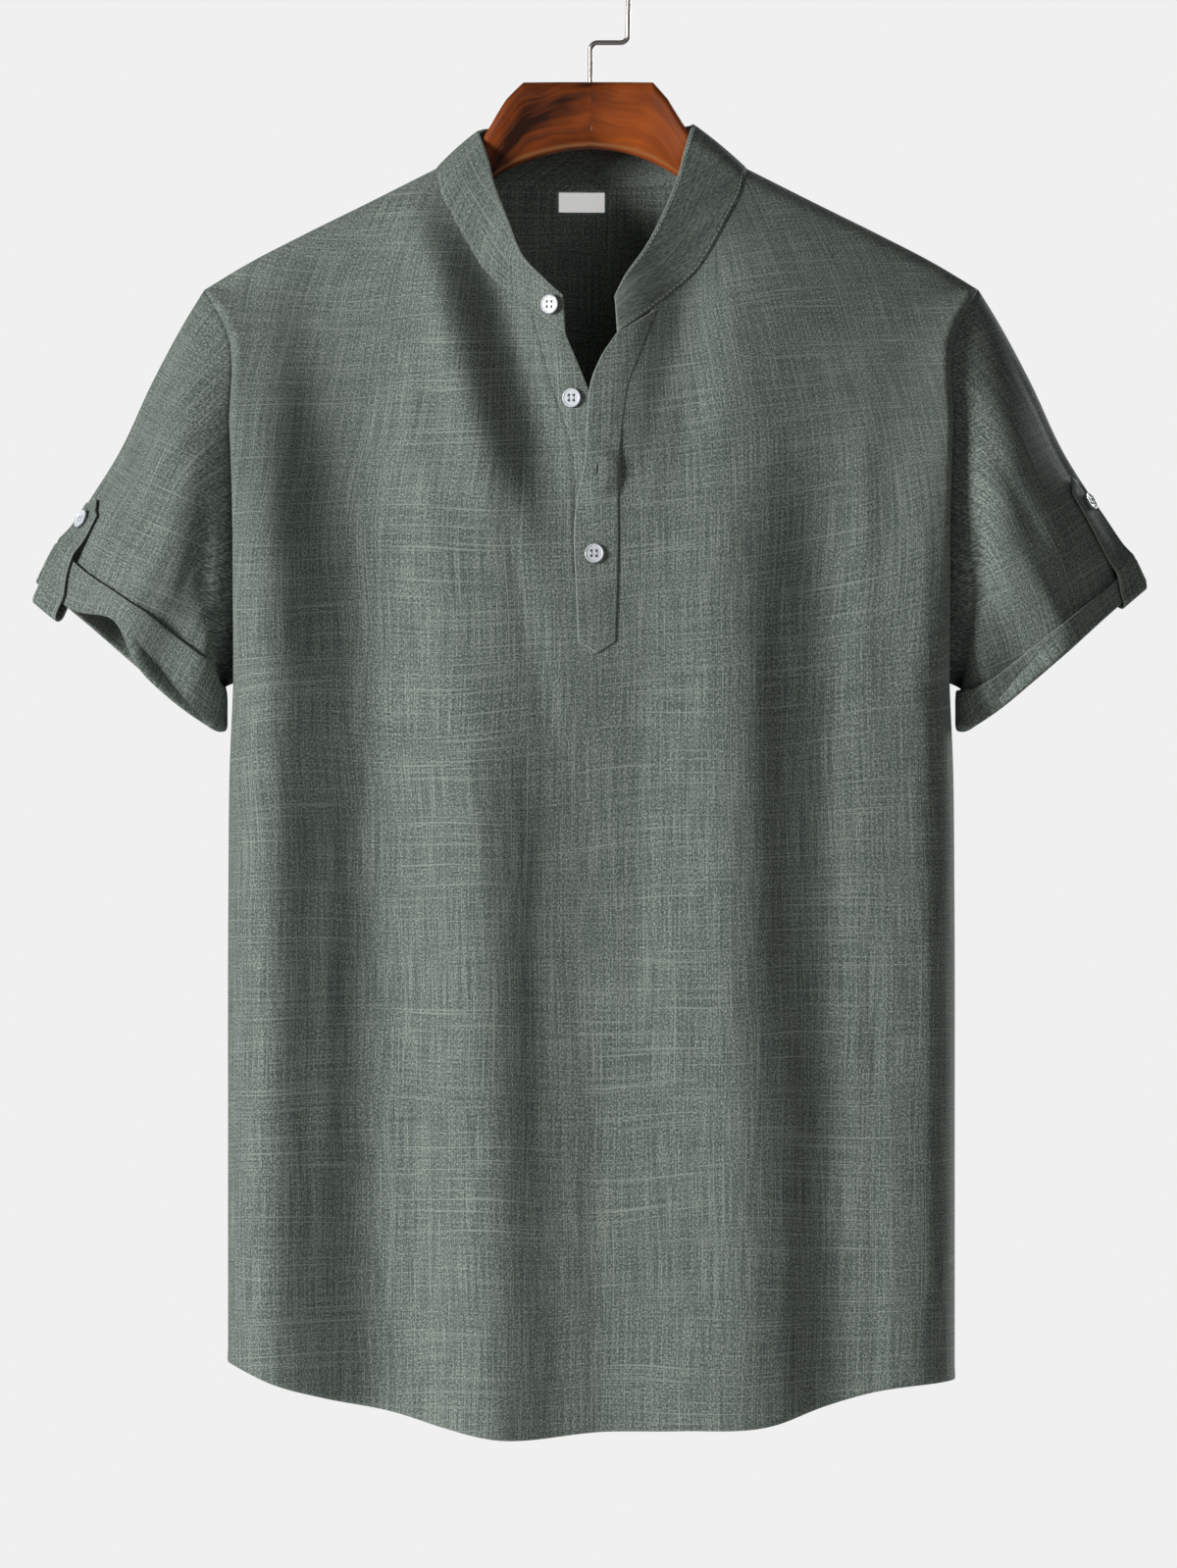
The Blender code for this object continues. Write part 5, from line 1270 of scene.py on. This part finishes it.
WOOD = {  # features per metre along and across the grain, detail, start
    "band": ((10, 75), 3, (0, 0, 0)),
    "streak": ((12, 330), 2, (4.4, 2.1, 0)),
    "patch": ((26, 40), 2, (7.2, 5.5, 0)),
    "pore": ((90, 2600), 1, (1.1, 9.2, 0)),
}
WOOD_WEIGHTS = {"band": 0.45, "streak": 0.25, "patch": 0.45}
WOOD_SWAY = (28.0, 2.0, (0.004, 0.012, 0))
DARKNESS_WEIGHT = -0.20
STAIN_WEIGHT = -0.22
WOOD_TONES = (0.12, 0.68)                        # of the dark and the light wood
# Pale tan of the lower edges, and how much of it is laid on: painted highlight with some rubbed bare wood.
RUBBED_LIT_WOOD = (0.36, 0.15, 0.052, 1)
RUBBED_LIT_BY = 0.65
WOOD_GLOSS = (0.3, 0.7, 0.36, 0.24)              # tones of the streaks, and their roughness
WOOD_BUMP = (0.12, 0.0003)
WOOD_SHADER = {"Coat Weight": 0.12, "Coat Roughness": 0.2, "Specular IOR Level": 0.2}
STAIN_INNER = 0.1                                # the stain is even within this share of its reach
WOODS = {  # light, dark, darkness, turn of the grain; stain: slope, height, reach
    "dark_varnished_wood": ((0.40, 0.085, 0.014, 1), (0.022, 0.006, 0.003, 1), 1.00, 0.20,
                            (0.55, 0.018, 0.017)),
    "brown_varnished_wood": ((0.42, 0.092, 0.016, 1), (0.042, 0.009, 0.003, 1), 0.35, 0.15,
                             (0.0, 0.0, 0.016)),
}

UNEVEN_TONES = (0.3, 0.7)
UNEVEN_DETAIL = 3
UNEVEN_DISTANCE = 0.0002
UNEVEN = {  # cleanest colour, dullest colour, roughness from and to, features per metre, bump, shader values
    # The label tape glows by a weak emission: painted light that keeps it bright inside the shaded neck.
    "white_tape_glowing": ((0.90, 0.90, 0.89, 1), (0.84, 0.84, 0.83, 1), (0.6, 0.75), (900, 900), 0.2,
                   {"Emission Color": (0.9, 0.9, 0.89, 1), "Emission Strength": 0.45}),
    "pale_thread": ((0.37, 0.41, 0.35, 1), (0.28, 0.31, 0.26, 1), (0.7, 0.8), (500, 500), 0.05, {}),
    "button_thread": ((0.34, 0.36, 0.37, 1), (0.26, 0.28, 0.29, 1), (0.7, 0.8), (900, 2000), 0.05, {}),
    "drawn_wire": ((0.42, 0.39, 0.35, 1), (0.33, 0.30, 0.27, 1), (0.24, 0.38), (60, 4000), 0.05,
                   {"Metallic": 1.0}),
}
BUTTON_TONES = ((0.53, 0.56, 0.59, 1), (0.62, 0.645, 0.67, 1))
# Painted shade on the buttons: near black down in their four holes.
BUTTON_PIT_SHADE = (0.035, 0.042, 0.045, 1)
BUTTON_NOISE = (420, 420)
BUTTON_GLOSS = (0.16, 0.26)
PIT_SHADE_SHARES = (0.75, 1.05)                        # of the hole's radius: painted shade within, clear outside
# A painted shade ring round the button's outer edge, where it meets the cloth.
BUTTON_EDGE_SHADE_SHARES = (0.90, 0.985)               # of the button's radius: clear within, painted shade outside
BUTTON_EDGE_SHADE = 0.25


def feed(tree, into, values):
    """Give input sockets, by name or number, another node's output or a value of their own."""
    for key, value in values.items():
        if isinstance(value, bpy.types.NodeSocket):
            tree.links.new(value, into[key])
        else:
            into[key].default_value = value


def node(tree, kind, inputs=None, **settings):
    """A new node with its settings and inputs, placed in rows in the order of making."""
    count = len(tree.nodes)
    made = tree.nodes.new(kind)
    made.location = (count % NODES_IN_ROW * NODE_STEP[0], count // NODES_IN_ROW * NODE_STEP[1])
    for key, value in settings.items():
        setattr(made, key, value)
    feed(tree, made.inputs, inputs or {})
    return made


def stretched_noise(tree, vector, scale, detail, start=(0, 0, 0)):
    """Noise stretched by a scale for each direction, in features per metre."""
    mapping = node(tree, "ShaderNodeMapping", {"Vector": vector, "Scale": (*scale, 1.0), "Location": start})
    inputs = {"Vector": mapping.outputs[0], "Scale": 1.0, "Detail": detail, "Roughness": NOISE_ROUGHNESS}
    return node(tree, "ShaderNodeTexNoise", inputs, noise_dimensions="2D").outputs["Fac"]


def swayed(tree, vector, scale, detail, reach):
    """A map moved by slow noise, so that threads and grain don't run quite straight."""
    inputs = {"Vector": vector, "Scale": scale, "Detail": detail}
    noise = node(tree, "ShaderNodeTexNoise", inputs, noise_dimensions="2D")
    inputs = {0: noise.outputs["Color"], 1: reach, 2: vector}
    return node(tree, "ShaderNodeVectorMath", inputs, operation="MULTIPLY_ADD").outputs[0]


def math_node(tree, operation, first, second=0.0):
    """A Math node of two inputs, each a socket or a number."""
    return node(tree, "ShaderNodeMath", {0: first, 1: second}, operation=operation).outputs[0]


def weighted_sum(tree, parts):
    """Sum of sockets, each times its weight."""
    products = [math_node(tree, "MULTIPLY", value, weight) for value, weight in parts]
    total = products[0]
    for product in products[1:]:
        total = math_node(tree, "ADD", total, product)
    return total


def remap(tree, value, low, high, to_low=0.0, to_high=1.0):
    """A clamped Map Range."""
    inputs = {"Value": value, "From Min": low, "From Max": high, "To Min": to_low, "To Max": to_high}
    return node(tree, "ShaderNodeMapRange", inputs).outputs[0]


def mix(tree, share, first, second):
    """A colour between two, each a socket or a colour."""
    inputs = {MIX_SHARE: share, MIX_FIRST: first, MIX_SECOND: second}
    return node(tree, "ShaderNodeMix", inputs, data_type="RGBA").outputs[MIX_RESULT]


def group_tree(name, inputs):
    """A node group with named inputs and the three outputs of a grain; its tree, inputs and outputs."""
    tree = bpy.data.node_groups.new(name, "ShaderNodeTree")
    for socket, kind in inputs.items():
        tree.interface.new_socket(socket, in_out="INPUT", socket_type=kind)
    for socket, kind in (("Color", "NodeSocketColor"), ("Height", "NodeSocketFloat"),
                         ("Roughness", "NodeSocketFloat")):
        tree.interface.new_socket(socket, in_out="OUTPUT", socket_type=kind)
    return tree, node(tree, "NodeGroupInput").outputs, node(tree, "NodeGroupOutput").inputs


def slub_weave_group():
    """Linen-look weave: grain of uneven tone, threads along weft and warp, long pale slubs, and relief.

    Tone is a weighted sum of an even grain and of noises stretched along weft and warp; it goes from
    dark through middle to pale yarn. Thresholds of two very long noises lay pale slubs over it, and a
    worn edge with a painted highlight shows the pale yarn.
    """
    tree, given, out = group_tree("slub_weave", {
        "Vector": "NodeSocketVector", "Dark Yarn": "NodeSocketColor", "Yarn": "NodeSocketColor",
        "Pale Yarn": "NodeSocketColor", "Slubs": "NodeSocketFloat", "Worn Lit Edge": "NodeSocketFloat",
    })
    bent = swayed(tree, given["Vector"], *WEAVE_SWAY)
    noise = {name: stretched_noise(tree, bent, *values) for name, values in WEAVE.items()}
    tone = weighted_sum(tree, [(noise[name], weight) for name, weight in WEAVE_WEIGHTS.items()])
    share = remap(tree, tone, *WEAVE_TONES)
    dark_half = mix(tree, remap(tree, share, 0.0, 0.5), given["Dark Yarn"], given["Yarn"])
    plain = mix(tree, remap(tree, share, 0.5, 1.0), dark_half, given["Pale Yarn"])
    weft_slub = remap(tree, noise["weft_slub"], *WEFT_SLUB_FROM)
    warp_slub = remap(tree, noise["warp_slub"], *WARP_SLUB_FROM)
    slub = math_node(tree, "MULTIPLY", math_node(tree, "MAXIMUM", weft_slub, warp_slub), given["Slubs"])
    # Pale yarn at folded edges: wear and a painted highlight.
    rubbed_lit = remap(tree, given["Worn Lit Edge"], *WORN_LIT_CLOTH)
    slub = math_node(tree, "MAXIMUM", slub, rubbed_lit)
    threads = math_node(tree, "ADD", math_node(tree, "ADD", noise["weft"], noise["warp"]), noise["grain"])
    feed(tree, out, {
        "Color": mix(tree, slub, plain, given["Pale Yarn"]),
        "Height": math_node(tree, "ADD", threads, slub),
        "Roughness": remap(tree, slub, 0.0, 1.0, *WEAVE_ROUGHNESS),
    })
    return tree


def wood_grain_group():
    """Wood: rings seen lengthwise as stretched, bent bands, with pores, dark streaks and pale patches."""
    tree, given, out = group_tree("wood_grain", {
        "Vector": "NodeSocketVector", "Light Wood": "NodeSocketColor", "Dark Wood": "NodeSocketColor",
        "Darkness": "NodeSocketFloat", "Stain": "NodeSocketFloat", "Worn Lit Edge": "NodeSocketFloat",
    })
    bent = swayed(tree, given["Vector"], *WOOD_SWAY)
    noise = {name: stretched_noise(tree, bent, *values) for name, values in WOOD.items()}
    parts = [(noise[name], weight) for name, weight in WOOD_WEIGHTS.items()]
    parts += [(given["Darkness"], DARKNESS_WEIGHT), (given["Stain"], STAIN_WEIGHT)]
    share = remap(tree, weighted_sum(tree, parts), *WOOD_TONES)
    plain = mix(tree, share, given["Dark Wood"], given["Light Wood"])
    # Pale lower edges: painted highlight with some rubbed bare wood.
    rubbed_lit = math_node(tree, "MULTIPLY", given["Worn Lit Edge"], RUBBED_LIT_BY)
    feed(tree, out, {
        "Color": mix(tree, rubbed_lit, plain, RUBBED_LIT_WOOD),
        "Height": noise["pore"],
        "Roughness": remap(tree, noise["streak"], *WOOD_GLOSS),
    })
    return tree


SLUB_WEAVE = slub_weave_group()
WOOD_GRAIN = wood_grain_group()


def new_material(name):
    """A material, its tree, its Principled node and the flat map."""
    made = bpy.data.materials.new(name)
    made.use_nodes = True
    tree = made.node_tree
    flat = node(tree, "ShaderNodeUVMap", uv_map="flat_cut")
    return made, tree, tree.nodes["Principled BSDF"], flat.outputs["UV"]


def finish(tree, shader, color, roughness, height, bump, constants):
    """Colour, roughness and relief on the shader, with its own constants."""
    strength, distance = bump
    relief = node(tree, "ShaderNodeBump", {"Strength": strength, "Distance": distance, "Height": height})
    feed(tree, shader.inputs, {
        "Base Color": color, "Roughness": roughness, "Normal": relief.outputs[0], **constants,
    })


def add_grain(tree, shader, group, inputs, bump, constants):
    """A node group, given the edge's share of wear and painted highlight too, as the shader's finish."""
    worn_lit = node(tree, "ShaderNodeAttribute", attribute_name="worn_lit_edge")
    inputs = {**inputs, "Worn Lit Edge": worn_lit.outputs["Fac"]}
    grain = node(tree, "ShaderNodeGroup", inputs, node_tree=group).outputs
    finish(tree, shader, grain["Color"], grain["Roughness"], grain["Height"], bump, constants)


def cloth_material(name):
    """Slub weave on the flat cut, with a dull sheen."""
    slubs, at = CLOTHS[name]
    made, tree, shader, flat = new_material(name)
    mapping = node(tree, "ShaderNodeMapping", {"Vector": flat, "Location": at})
    inputs = {"Vector": mapping.outputs[0], "Dark Yarn": DARK_YARN, "Yarn": YARN, "Pale Yarn": PALE_YARN,
              "Slubs": slubs}
    add_grain(tree, shader, SLUB_WEAVE, inputs, CLOTH_BUMP, CLOTH_SHADER)
    return made


def wood_material(name):
    """Varnished wood along the arm, with a dark stain.

    The stain is a band round a slanting line: slope times the way from the joint, plus the height,
    less the line's own height. With no slope it is a band beside the joint.
    """
    light, dark, darkness, turn, (slope, height, reach) = WOODS[name]
    made, tree, shader, flat = new_material(name)
    start = (darkness, 2 * darkness, 0)
    mapping = node(tree, "ShaderNodeMapping", {"Vector": flat, "Rotation": (0, 0, turn), "Location": start})
    parts = node(tree, "ShaderNodeSeparateXYZ", {0: flat})
    off_line = parts.outputs[0]
    if slope:
        slanted = math_node(tree, "MULTIPLY", off_line, slope)
        off_line = math_node(tree, "ADD", slanted, math_node(tree, "SUBTRACT", parts.outputs[1], height))
    away = math_node(tree, "ABSOLUTE", off_line)
    inputs = {"Vector": mapping.outputs[0], "Light Wood": light, "Dark Wood": dark, "Darkness": darkness,
              "Stain": remap(tree, away, reach * STAIN_INNER, reach, 1.0, 0.0)}
    add_grain(tree, shader, WOOD_GRAIN, inputs, WOOD_BUMP, WOOD_SHADER)
    return made


def uneven_material(name):
    """A plain finish with slight unevenness of tone, roughness and surface, and its row's shader values: for
    the label tape a weak emission, a painted glow.
    """
    color, dull, rough, scale, bump, constants = UNEVEN[name]
    made, tree, shader, flat = new_material(name)
    noise = stretched_noise(tree, flat, scale, UNEVEN_DETAIL)
    tone = mix(tree, remap(tree, noise, *UNEVEN_TONES), dull, color)
    roughness = remap(tree, noise, *UNEVEN_TONES, *rough)
    finish(tree, shader, tone, roughness, noise, (bump, UNEVEN_DISTANCE), constants)
    return made


def squares(tree, first, second):
    """Sum of two sockets' squares."""
    return math_node(tree, "ADD", math_node(tree, "MULTIPLY", first, first),
                     math_node(tree, "MULTIPLY", second, second))


def button_material():
    """White button: glossy, cool in tone, with painted shade down in its four pits and round its outer edge.
    """
    made, tree, shader, flat = new_material("white_button")
    noise = stretched_noise(tree, flat, BUTTON_NOISE, UNEVEN_DETAIL)
    parts = node(tree, "ShaderNodeSeparateXYZ", {0: flat}).outputs
    from_hole = [math_node(tree, "SUBTRACT", math_node(tree, "ABSOLUTE", parts[k]), BUTTON_HOLE_AT)
                 for k in range(2)]
    shade_to, clear_from = ((BUTTON_HOLE_R * share) ** 2 for share in PIT_SHADE_SHARES)
    clear_to, shade_from = ((BUTTON_R * share) ** 2 for share in BUTTON_EDGE_SHADE_SHARES)
    # Painted shade down in the holes.
    off_hole_shade = remap(tree, squares(tree, *from_hole), shade_to, clear_from)
    # Painted shade ring round the outer edge.
    inside = remap(tree, squares(tree, parts[0], parts[1]), clear_to, shade_from, 1.0, BUTTON_EDGE_SHADE)
    unshaded = math_node(tree, "MULTIPLY", off_hole_shade, inside)
    feed(tree, shader.inputs, {
        "Base Color": mix(tree, unshaded, BUTTON_PIT_SHADE, mix(tree, noise, *BUTTON_TONES)),
        "Roughness": remap(tree, noise, *UNEVEN_TONES, *BUTTON_GLOSS),
    })
    return made


panel_cloth, back_cloth, sleeve_cloth, band_cloth, tab_cloth = (cloth_material(name) for name in CLOTHS)
# The label tape's material glows: painted light.
glowing_label_tape, thread, button_thread, wire_metal = (uneven_material(name) for name in UNEVEN)
wood_dark, wood_brown = (wood_material(name) for name in WOODS)
button_plastic = button_material()

# ---------------------------------------------------------------- camera
PIXELS_PER_METRE = 1743.0
PHOTO_HEIGHT = 1599
PHOTO_CENTRE = (-0.0017, -0.4837)       # x, z that the middle of the photograph shows
CAMERA_AWAY = 8.0
CAMERA_SEES_TO = 60

camera_data = bpy.data.cameras.new("camera")
camera = add_object("camera", camera_data)
bpy.context.scene.camera = camera
camera.location = (PHOTO_CENTRE[0], -CAMERA_AWAY, PHOTO_CENTRE[1])
camera.rotation_euler = (math.pi / 2, 0, 0)
camera_data.sensor_fit = "AUTO"
camera_data.lens = camera_data.sensor_width * CAMERA_AWAY * PIXELS_PER_METRE / PHOTO_HEIGHT
camera_data.clip_end = CAMERA_SEES_TO

# ---------------------------------------------------------------- cloth pieces
band = band_grid()
under = placket_under_grid()
top_grid, placket_top_sheet = placket_top()
tabs = {side: tab_grid(side) for side in (-1, 1)}
sheets = {
    "front": panel(True),
    "back": panel(False),
    "sleeve_right": sleeve(-1),
    "sleeve_left": sleeve(+1),
    "collar_band": strip_sheet(band, False, DOUBLE, True),
    "placket_under": strip_sheet(under, False, DOUBLE, True),
    "placket_top": placket_top_sheet,
    "tab_right": strip_sheet(tabs[-1], True, DOUBLE, False),
    "tab_left": strip_sheet(tabs[1], False, DOUBLE, False),
    "neck_label": strip_sheet(label_grid(), False, LABEL_THICK, False),
}
# The band's edges: pale yarn for wear and a painted highlight.
band_worn_lit = np.zeros(band.shape[:2])
band_worn_lit[-1] = WORN_LIT_BAND
band_worn_lit[:, [0, -1]] = WORN_LIT_BAND
sheets["collar_band"].worn_lit = band_worn_lit.ravel()
under_seam = np.arange(len(under)) * STRIP_COLUMNS
sheets["placket_under"].flat = planar_flat(under).reshape(-1, 2)
sheets["placket_under"].groove[under_seam] = CLOSED_SEAM
sheets["placket_under"].thickness[under_seam] = THIN
# The lower strip's folded edge: pale yarn for wear and a painted highlight.
sheets["placket_under"].worn_lit[under_seam + STRIP_COLUMNS - 1] = WORN_LIT_STRIP
share_seam_normals([sheet for sheet in sheets.values() if sheet.sewn])

FINISH = {
    "front": (panel_cloth, "cloth"), "back": (back_cloth, "cloth"),
    "sleeve_right": (sleeve_cloth, "cloth"), "sleeve_left": (sleeve_cloth, "cloth"),
    "collar_band": (band_cloth, "band_cloth"), "placket_under": (panel_cloth, "band_cloth"),
    "placket_top": (panel_cloth, "band_cloth"), "tab_right": (tab_cloth, "band_cloth"),
    "tab_left": (tab_cloth, "band_cloth"), "neck_label": (glowing_label_tape, "label"),
}
pieces = {name: add_sheet(name + "_cloth", sheet, *FINISH[name], name) for name, sheet in sheets.items()}

# ---------------------------------------------------------------- hard pieces
BUTTON_SEAT = 0.0003
SEAT = CLOTH / 2 + BUTTON_SEAT
FRONT_PROBE = 0.004
TAB_RISE = 0.01


def bore_wood(made):
    """Cut the shank's hole out of a wooden half, and keep its edges sharp."""
    line = stack(HOOK_SHANK_X, 0.0, np.linspace(*BORE_Z, BORE_POINTS))
    points, faces, _ = tube_surface(line, BORE_R, WIRE_SIDES, (0, 1, 0), WIRE_CAP)
    bore = add_object("bore", new_mesh("bore", points, faces))
    cut = made.modifiers.new("bore", "BOOLEAN")
    cut.operation = "DIFFERENCE"
    cut.solver = "EXACT"
    cut.object = bore
    bpy.context.view_layer.update()
    bored = bpy.data.meshes.new_from_object(made.evaluated_get(bpy.context.evaluated_depsgraph_get()))
    made.modifiers.clear()
    made.data = bored
    bored.set_sharp_from_angle(angle=math.radians(SHARP_ANGLE))
    bpy.data.objects.remove(bore, do_unlink=True)


for name, side, wood, slot in (("hanger_right", -1, wood_dark, "dark_wood"),
                               ("hanger_left", +1, wood_brown, "brown_wood")):
    # Its pale lower edges carry a painted highlight with some rubbed bare wood.
    surface, rubbed_lit = wood_surface(side)
    made = add_piece(name + "_wood", surface, wood, worn_lit=rubbed_lit)
    bore_wood(made)
    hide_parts(name)

wire = tube_surface(hook_line(), WIRE_R, WIRE_SIDES, (0, 1, 0), WIRE_CAP)
hook = add_piece("hook_wire", wire, wire_metal)
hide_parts("hook")


def on_front(x, z, lift):
    """A point `lift` off the front at x, z, and the front's outward direction there."""
    step = FRONT_PROBE
    slope_x = (torso_y(x + step, z, True) - torso_y(x - step, z, True)) / (2 * step)
    slope_z = (torso_y(x, z + step, True) - torso_y(x, z - step, True)) / (2 * step)
    outward = unit(np.array([float(slope_x), -1.0, float(slope_z)]))
    return np.array([x, float(torso_y(x, z, True)), z]) + outward * lift, outward


def placed(surface, at, outward):
    """A surface moved so that its +Z points outward from a point."""
    x_axis = unit(np.cross([0.0, 0, 1], outward))
    y_axis = np.cross(outward, x_axis)
    points, faces, flat = surface
    return points @ np.array([x_axis, y_axis, outward]) + at, faces, flat


band_low, band_top = band_side(-1)
corner_middle = BAND_CORNER // 2
band_up = band_top[corner_middle] - band_low[corner_middle]
band_out = unit(np.cross(band_up, band_low[BAND_CORNER] - band_low[0]))
band_out *= np.sign(-band_out[1])
band_middle = (band_low[corner_middle] + band_top[corner_middle]) / 2
button_places = {
    "button_placket_1": on_front(*OPEN_BUTTON, SEAT),
    "button_placket_2": on_front(*BUMP_AT, SEAT),
    "button_placket_3": on_front(*FASTENED_BUTTON, STRIP_LIE + DOUBLE / 2 + BUTTON_SEAT),
    "button_collar": (band_middle + band_out * (SEAT + CURVED_LIFT), band_out),
}
for name, side in (("button_tab_right", -1), ("button_tab_left", +1)):
    around = tab_middle(TAB_BUTTON[side], side)
    low = sleeve_point(TAB_BUTTON[side], around, CLOTH + TAB_GAP, side)
    high = sleeve_point(TAB_BUTTON[side], around, CLOTH + TAB_GAP + TAB_RISE, side)
    outward = unit(high - low)
    button_places[name] = (low + outward * (SEAT + CURVED_LIFT), outward)
for name, (at, outward) in button_places.items():
    disc = add_piece(name + "_disc", placed(button_surface(), at, outward), button_plastic)
    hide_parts(name)
    add_piece(name + "_thread", placed(thread_surface(), at, outward), button_thread)

# ---------------------------------------------------------------- stitching
ROW, COLUMN = 0, 1        # the axis that a line of stitches keeps to


def hem_row(grid):
    """Fractional row of a grid that lies the hem's stitch height above its lower edge, at its middle."""
    up = run_length(grid[::-1], 0)[:, grid.shape[1] // 2]
    return len(grid) - 1 - float(np.interp(HEM_STITCH_UP, up, np.arange(len(up))))


def neck_row(grid):
    """Fractional row of a panel that lies the neck's stitch width below its neckline."""
    down = run_length(grid, 0)[:, NECK_STITCH_COLUMN]
    return float(np.interp(NECK_STITCH_IN, down, np.arange(len(down))))


def stitched(grid, normals, at, axis, thickness, keep=slice(None)):
    """Stitches along the kept part of a fractional row or column, on cloth of a thickness."""
    return stitch_row(line_at(grid, at, axis)[keep], line_at(normals, at, axis)[keep], thickness / 2)


def panel_stitches(front):
    """The hem's stitches, and the back's along its neckline on both faces."""
    lines = []
    for side in (-1, 1):
        grid = half_panel(side, front)
        normals = grid_normals(grid, (side > 0) != front)
        lines.append(stitched(grid, normals, hem_row(grid), ROW, DOUBLE))
        if not front:
            for way in (-1, 1):
                lines.append(stitched(grid, way * normals, neck_row(grid), ROW, THIN, slice(NECK_COLUMNS)))
    return merge(lines)


def band_stitches():
    """Along both edges of the band, on both faces."""
    normals = grid_normals(band, False)
    return merge([stitched(band, way * normals, at, ROW, DOUBLE)
                  for at in (BAND_STITCH_ROWS, BAND_ROWS - BAND_STITCH_ROWS) for way in (1, -1)])


def strip_stitches():
    """Along both sides of the upper strip, down to its point, and straight across it."""
    normals = grid_normals(top_grid, False)
    above_point = slice(-PLACKET_POINT_ROWS - 1)
    within = slice(CROSS_STITCH_IN, -CROSS_STITCH_IN)
    down = -top_grid[:, CROSS_STITCH_IN, 2]
    rows = np.interp([-z for z in CROSS_STITCH_Z], down, np.arange(len(top_grid)))
    lines = [stitched(top_grid, normals, at, COLUMN, DOUBLE, above_point)
             for at in (STRIP_STITCH_COLUMNS, STRIP_COLUMNS - STRIP_STITCH_COLUMNS)]
    return merge(lines + [stitched(top_grid, normals, float(row), ROW, DOUBLE, within) for row in rows])


def tab_stitches(side):
    """Along both sides of a tab, down to its last rows."""
    normals = grid_normals(tabs[side], side < 0)
    return merge([stitched(tabs[side], normals, at, COLUMN, DOUBLE, slice(-TAB_STITCH_LEFT))
                  for at in (TAB_STITCH_COLUMNS, TAB_COLUMNS - TAB_STITCH_COLUMNS)])


def cuff_stitches(side):
    """One row round a cuff."""
    cuff = sleeve_grid(side)[SLEEVE_ROWS + EDGE_TURN_POINTS:]
    opened = np.concatenate([cuff, cuff[:, :1]], axis=1)
    return stitched(opened, grid_normals(opened, side < 0), CUFF_STITCH * (len(cuff) - 1), ROW, THIN)


stitches = {
    "front": panel_stitches(True), "back": panel_stitches(False), "collar_band": band_stitches(),
    "placket_top": strip_stitches(), "tab_right": tab_stitches(-1), "tab_left": tab_stitches(+1),
    "sleeve_right": cuff_stitches(-1), "sleeve_left": cuff_stitches(+1),
}
stitching = {name: add_piece(name + "_stitches", rows, thread) for name, rows in stitches.items()}

# ---------------------------------------------------------------- floor, light and sky
FLOOR_Z = -1.80
FLOOR_R = 1.7
FLOOR_SIDES = 128
FLOOR_PAINT = {
    "Base Color": (0.8, 0.8, 0.8, 1), "Roughness": 0.9,
    "Emission Color": (0.8, 0.8, 0.8, 1), "Emission Strength": 0.45,
}
LIGHTS = {  # place, size, watts
    "window": ((-7.50, -4.60, 0.85), 2.6, 1045),
    "front_fill": ((1.6, -4.0, 0.6), 2.4, 25),
    "behind": ((3.6, 5.2, 0.8), 2.0, 270),
}
LIGHTS_LOOK_AT = (0, 0, -0.45)
SKY = (0.871, 0.871, 0.871, 1)
SKY_LIGHT = 0.07          # how strongly the sky lights the shirt; the camera sees it at full strength


def add_floor():
    """A plain pale disc well below the shirt."""
    turn = np.linspace(0, 2 * math.pi, FLOOR_SIDES, endpoint=False)
    points = stack(FLOOR_R * np.cos(turn), FLOOR_R * np.sin(turn), FLOOR_Z)
    mesh = new_mesh("floor", points, [np.arange(FLOOR_SIDES)[None, :]])
    paint = bpy.data.materials.new("pale_floor")
    paint.use_nodes = True
    for key, value in FLOOR_PAINT.items():
        paint.node_tree.nodes["Principled BSDF"].inputs[key].default_value = value
    mesh.materials.append(paint)
    add_object("floor", mesh)


def add_light(name, at, size, watts):
    """A square area light that looks at the shirt's middle and isn't seen itself."""
    data = bpy.data.lights.new(name, "AREA")
    data.size = size
    data.energy = watts
    made = add_object(name, data)
    made.visible_camera = False
    made.location = at
    way = np.array(LIGHTS_LOOK_AT) - np.array(at)
    rise = math.atan2(way[2], math.hypot(way[0], way[1]))
    made.rotation_euler = (math.pi / 2 + rise, 0, math.atan2(-way[0], way[1]))


def add_sky():
    """A pale sky that the camera sees brighter than it lights."""
    world = bpy.data.worlds.new("pale_sky")
    bpy.context.scene.world = world
    world.use_nodes = True
    tree = world.node_tree
    tree.nodes.clear()
    seen = node(tree, "ShaderNodeBackground", {0: SKY})
    around = node(tree, "ShaderNodeBackground", {0: SKY, 1: SKY_LIGHT})
    ray = node(tree, "ShaderNodeLightPath")
    inputs = {0: ray.outputs["Is Camera Ray"], 1: around.outputs[0], 2: seen.outputs[0]}
    either = node(tree, "ShaderNodeMixShader", inputs)
    node(tree, "ShaderNodeOutputWorld", {0: either.outputs[0]})


add_floor()
for name, (at, size, watts) in LIGHTS.items():
    add_light(name, at, size, watts)
add_sky()
bpy.context.scene.view_settings.view_transform = "Standard"
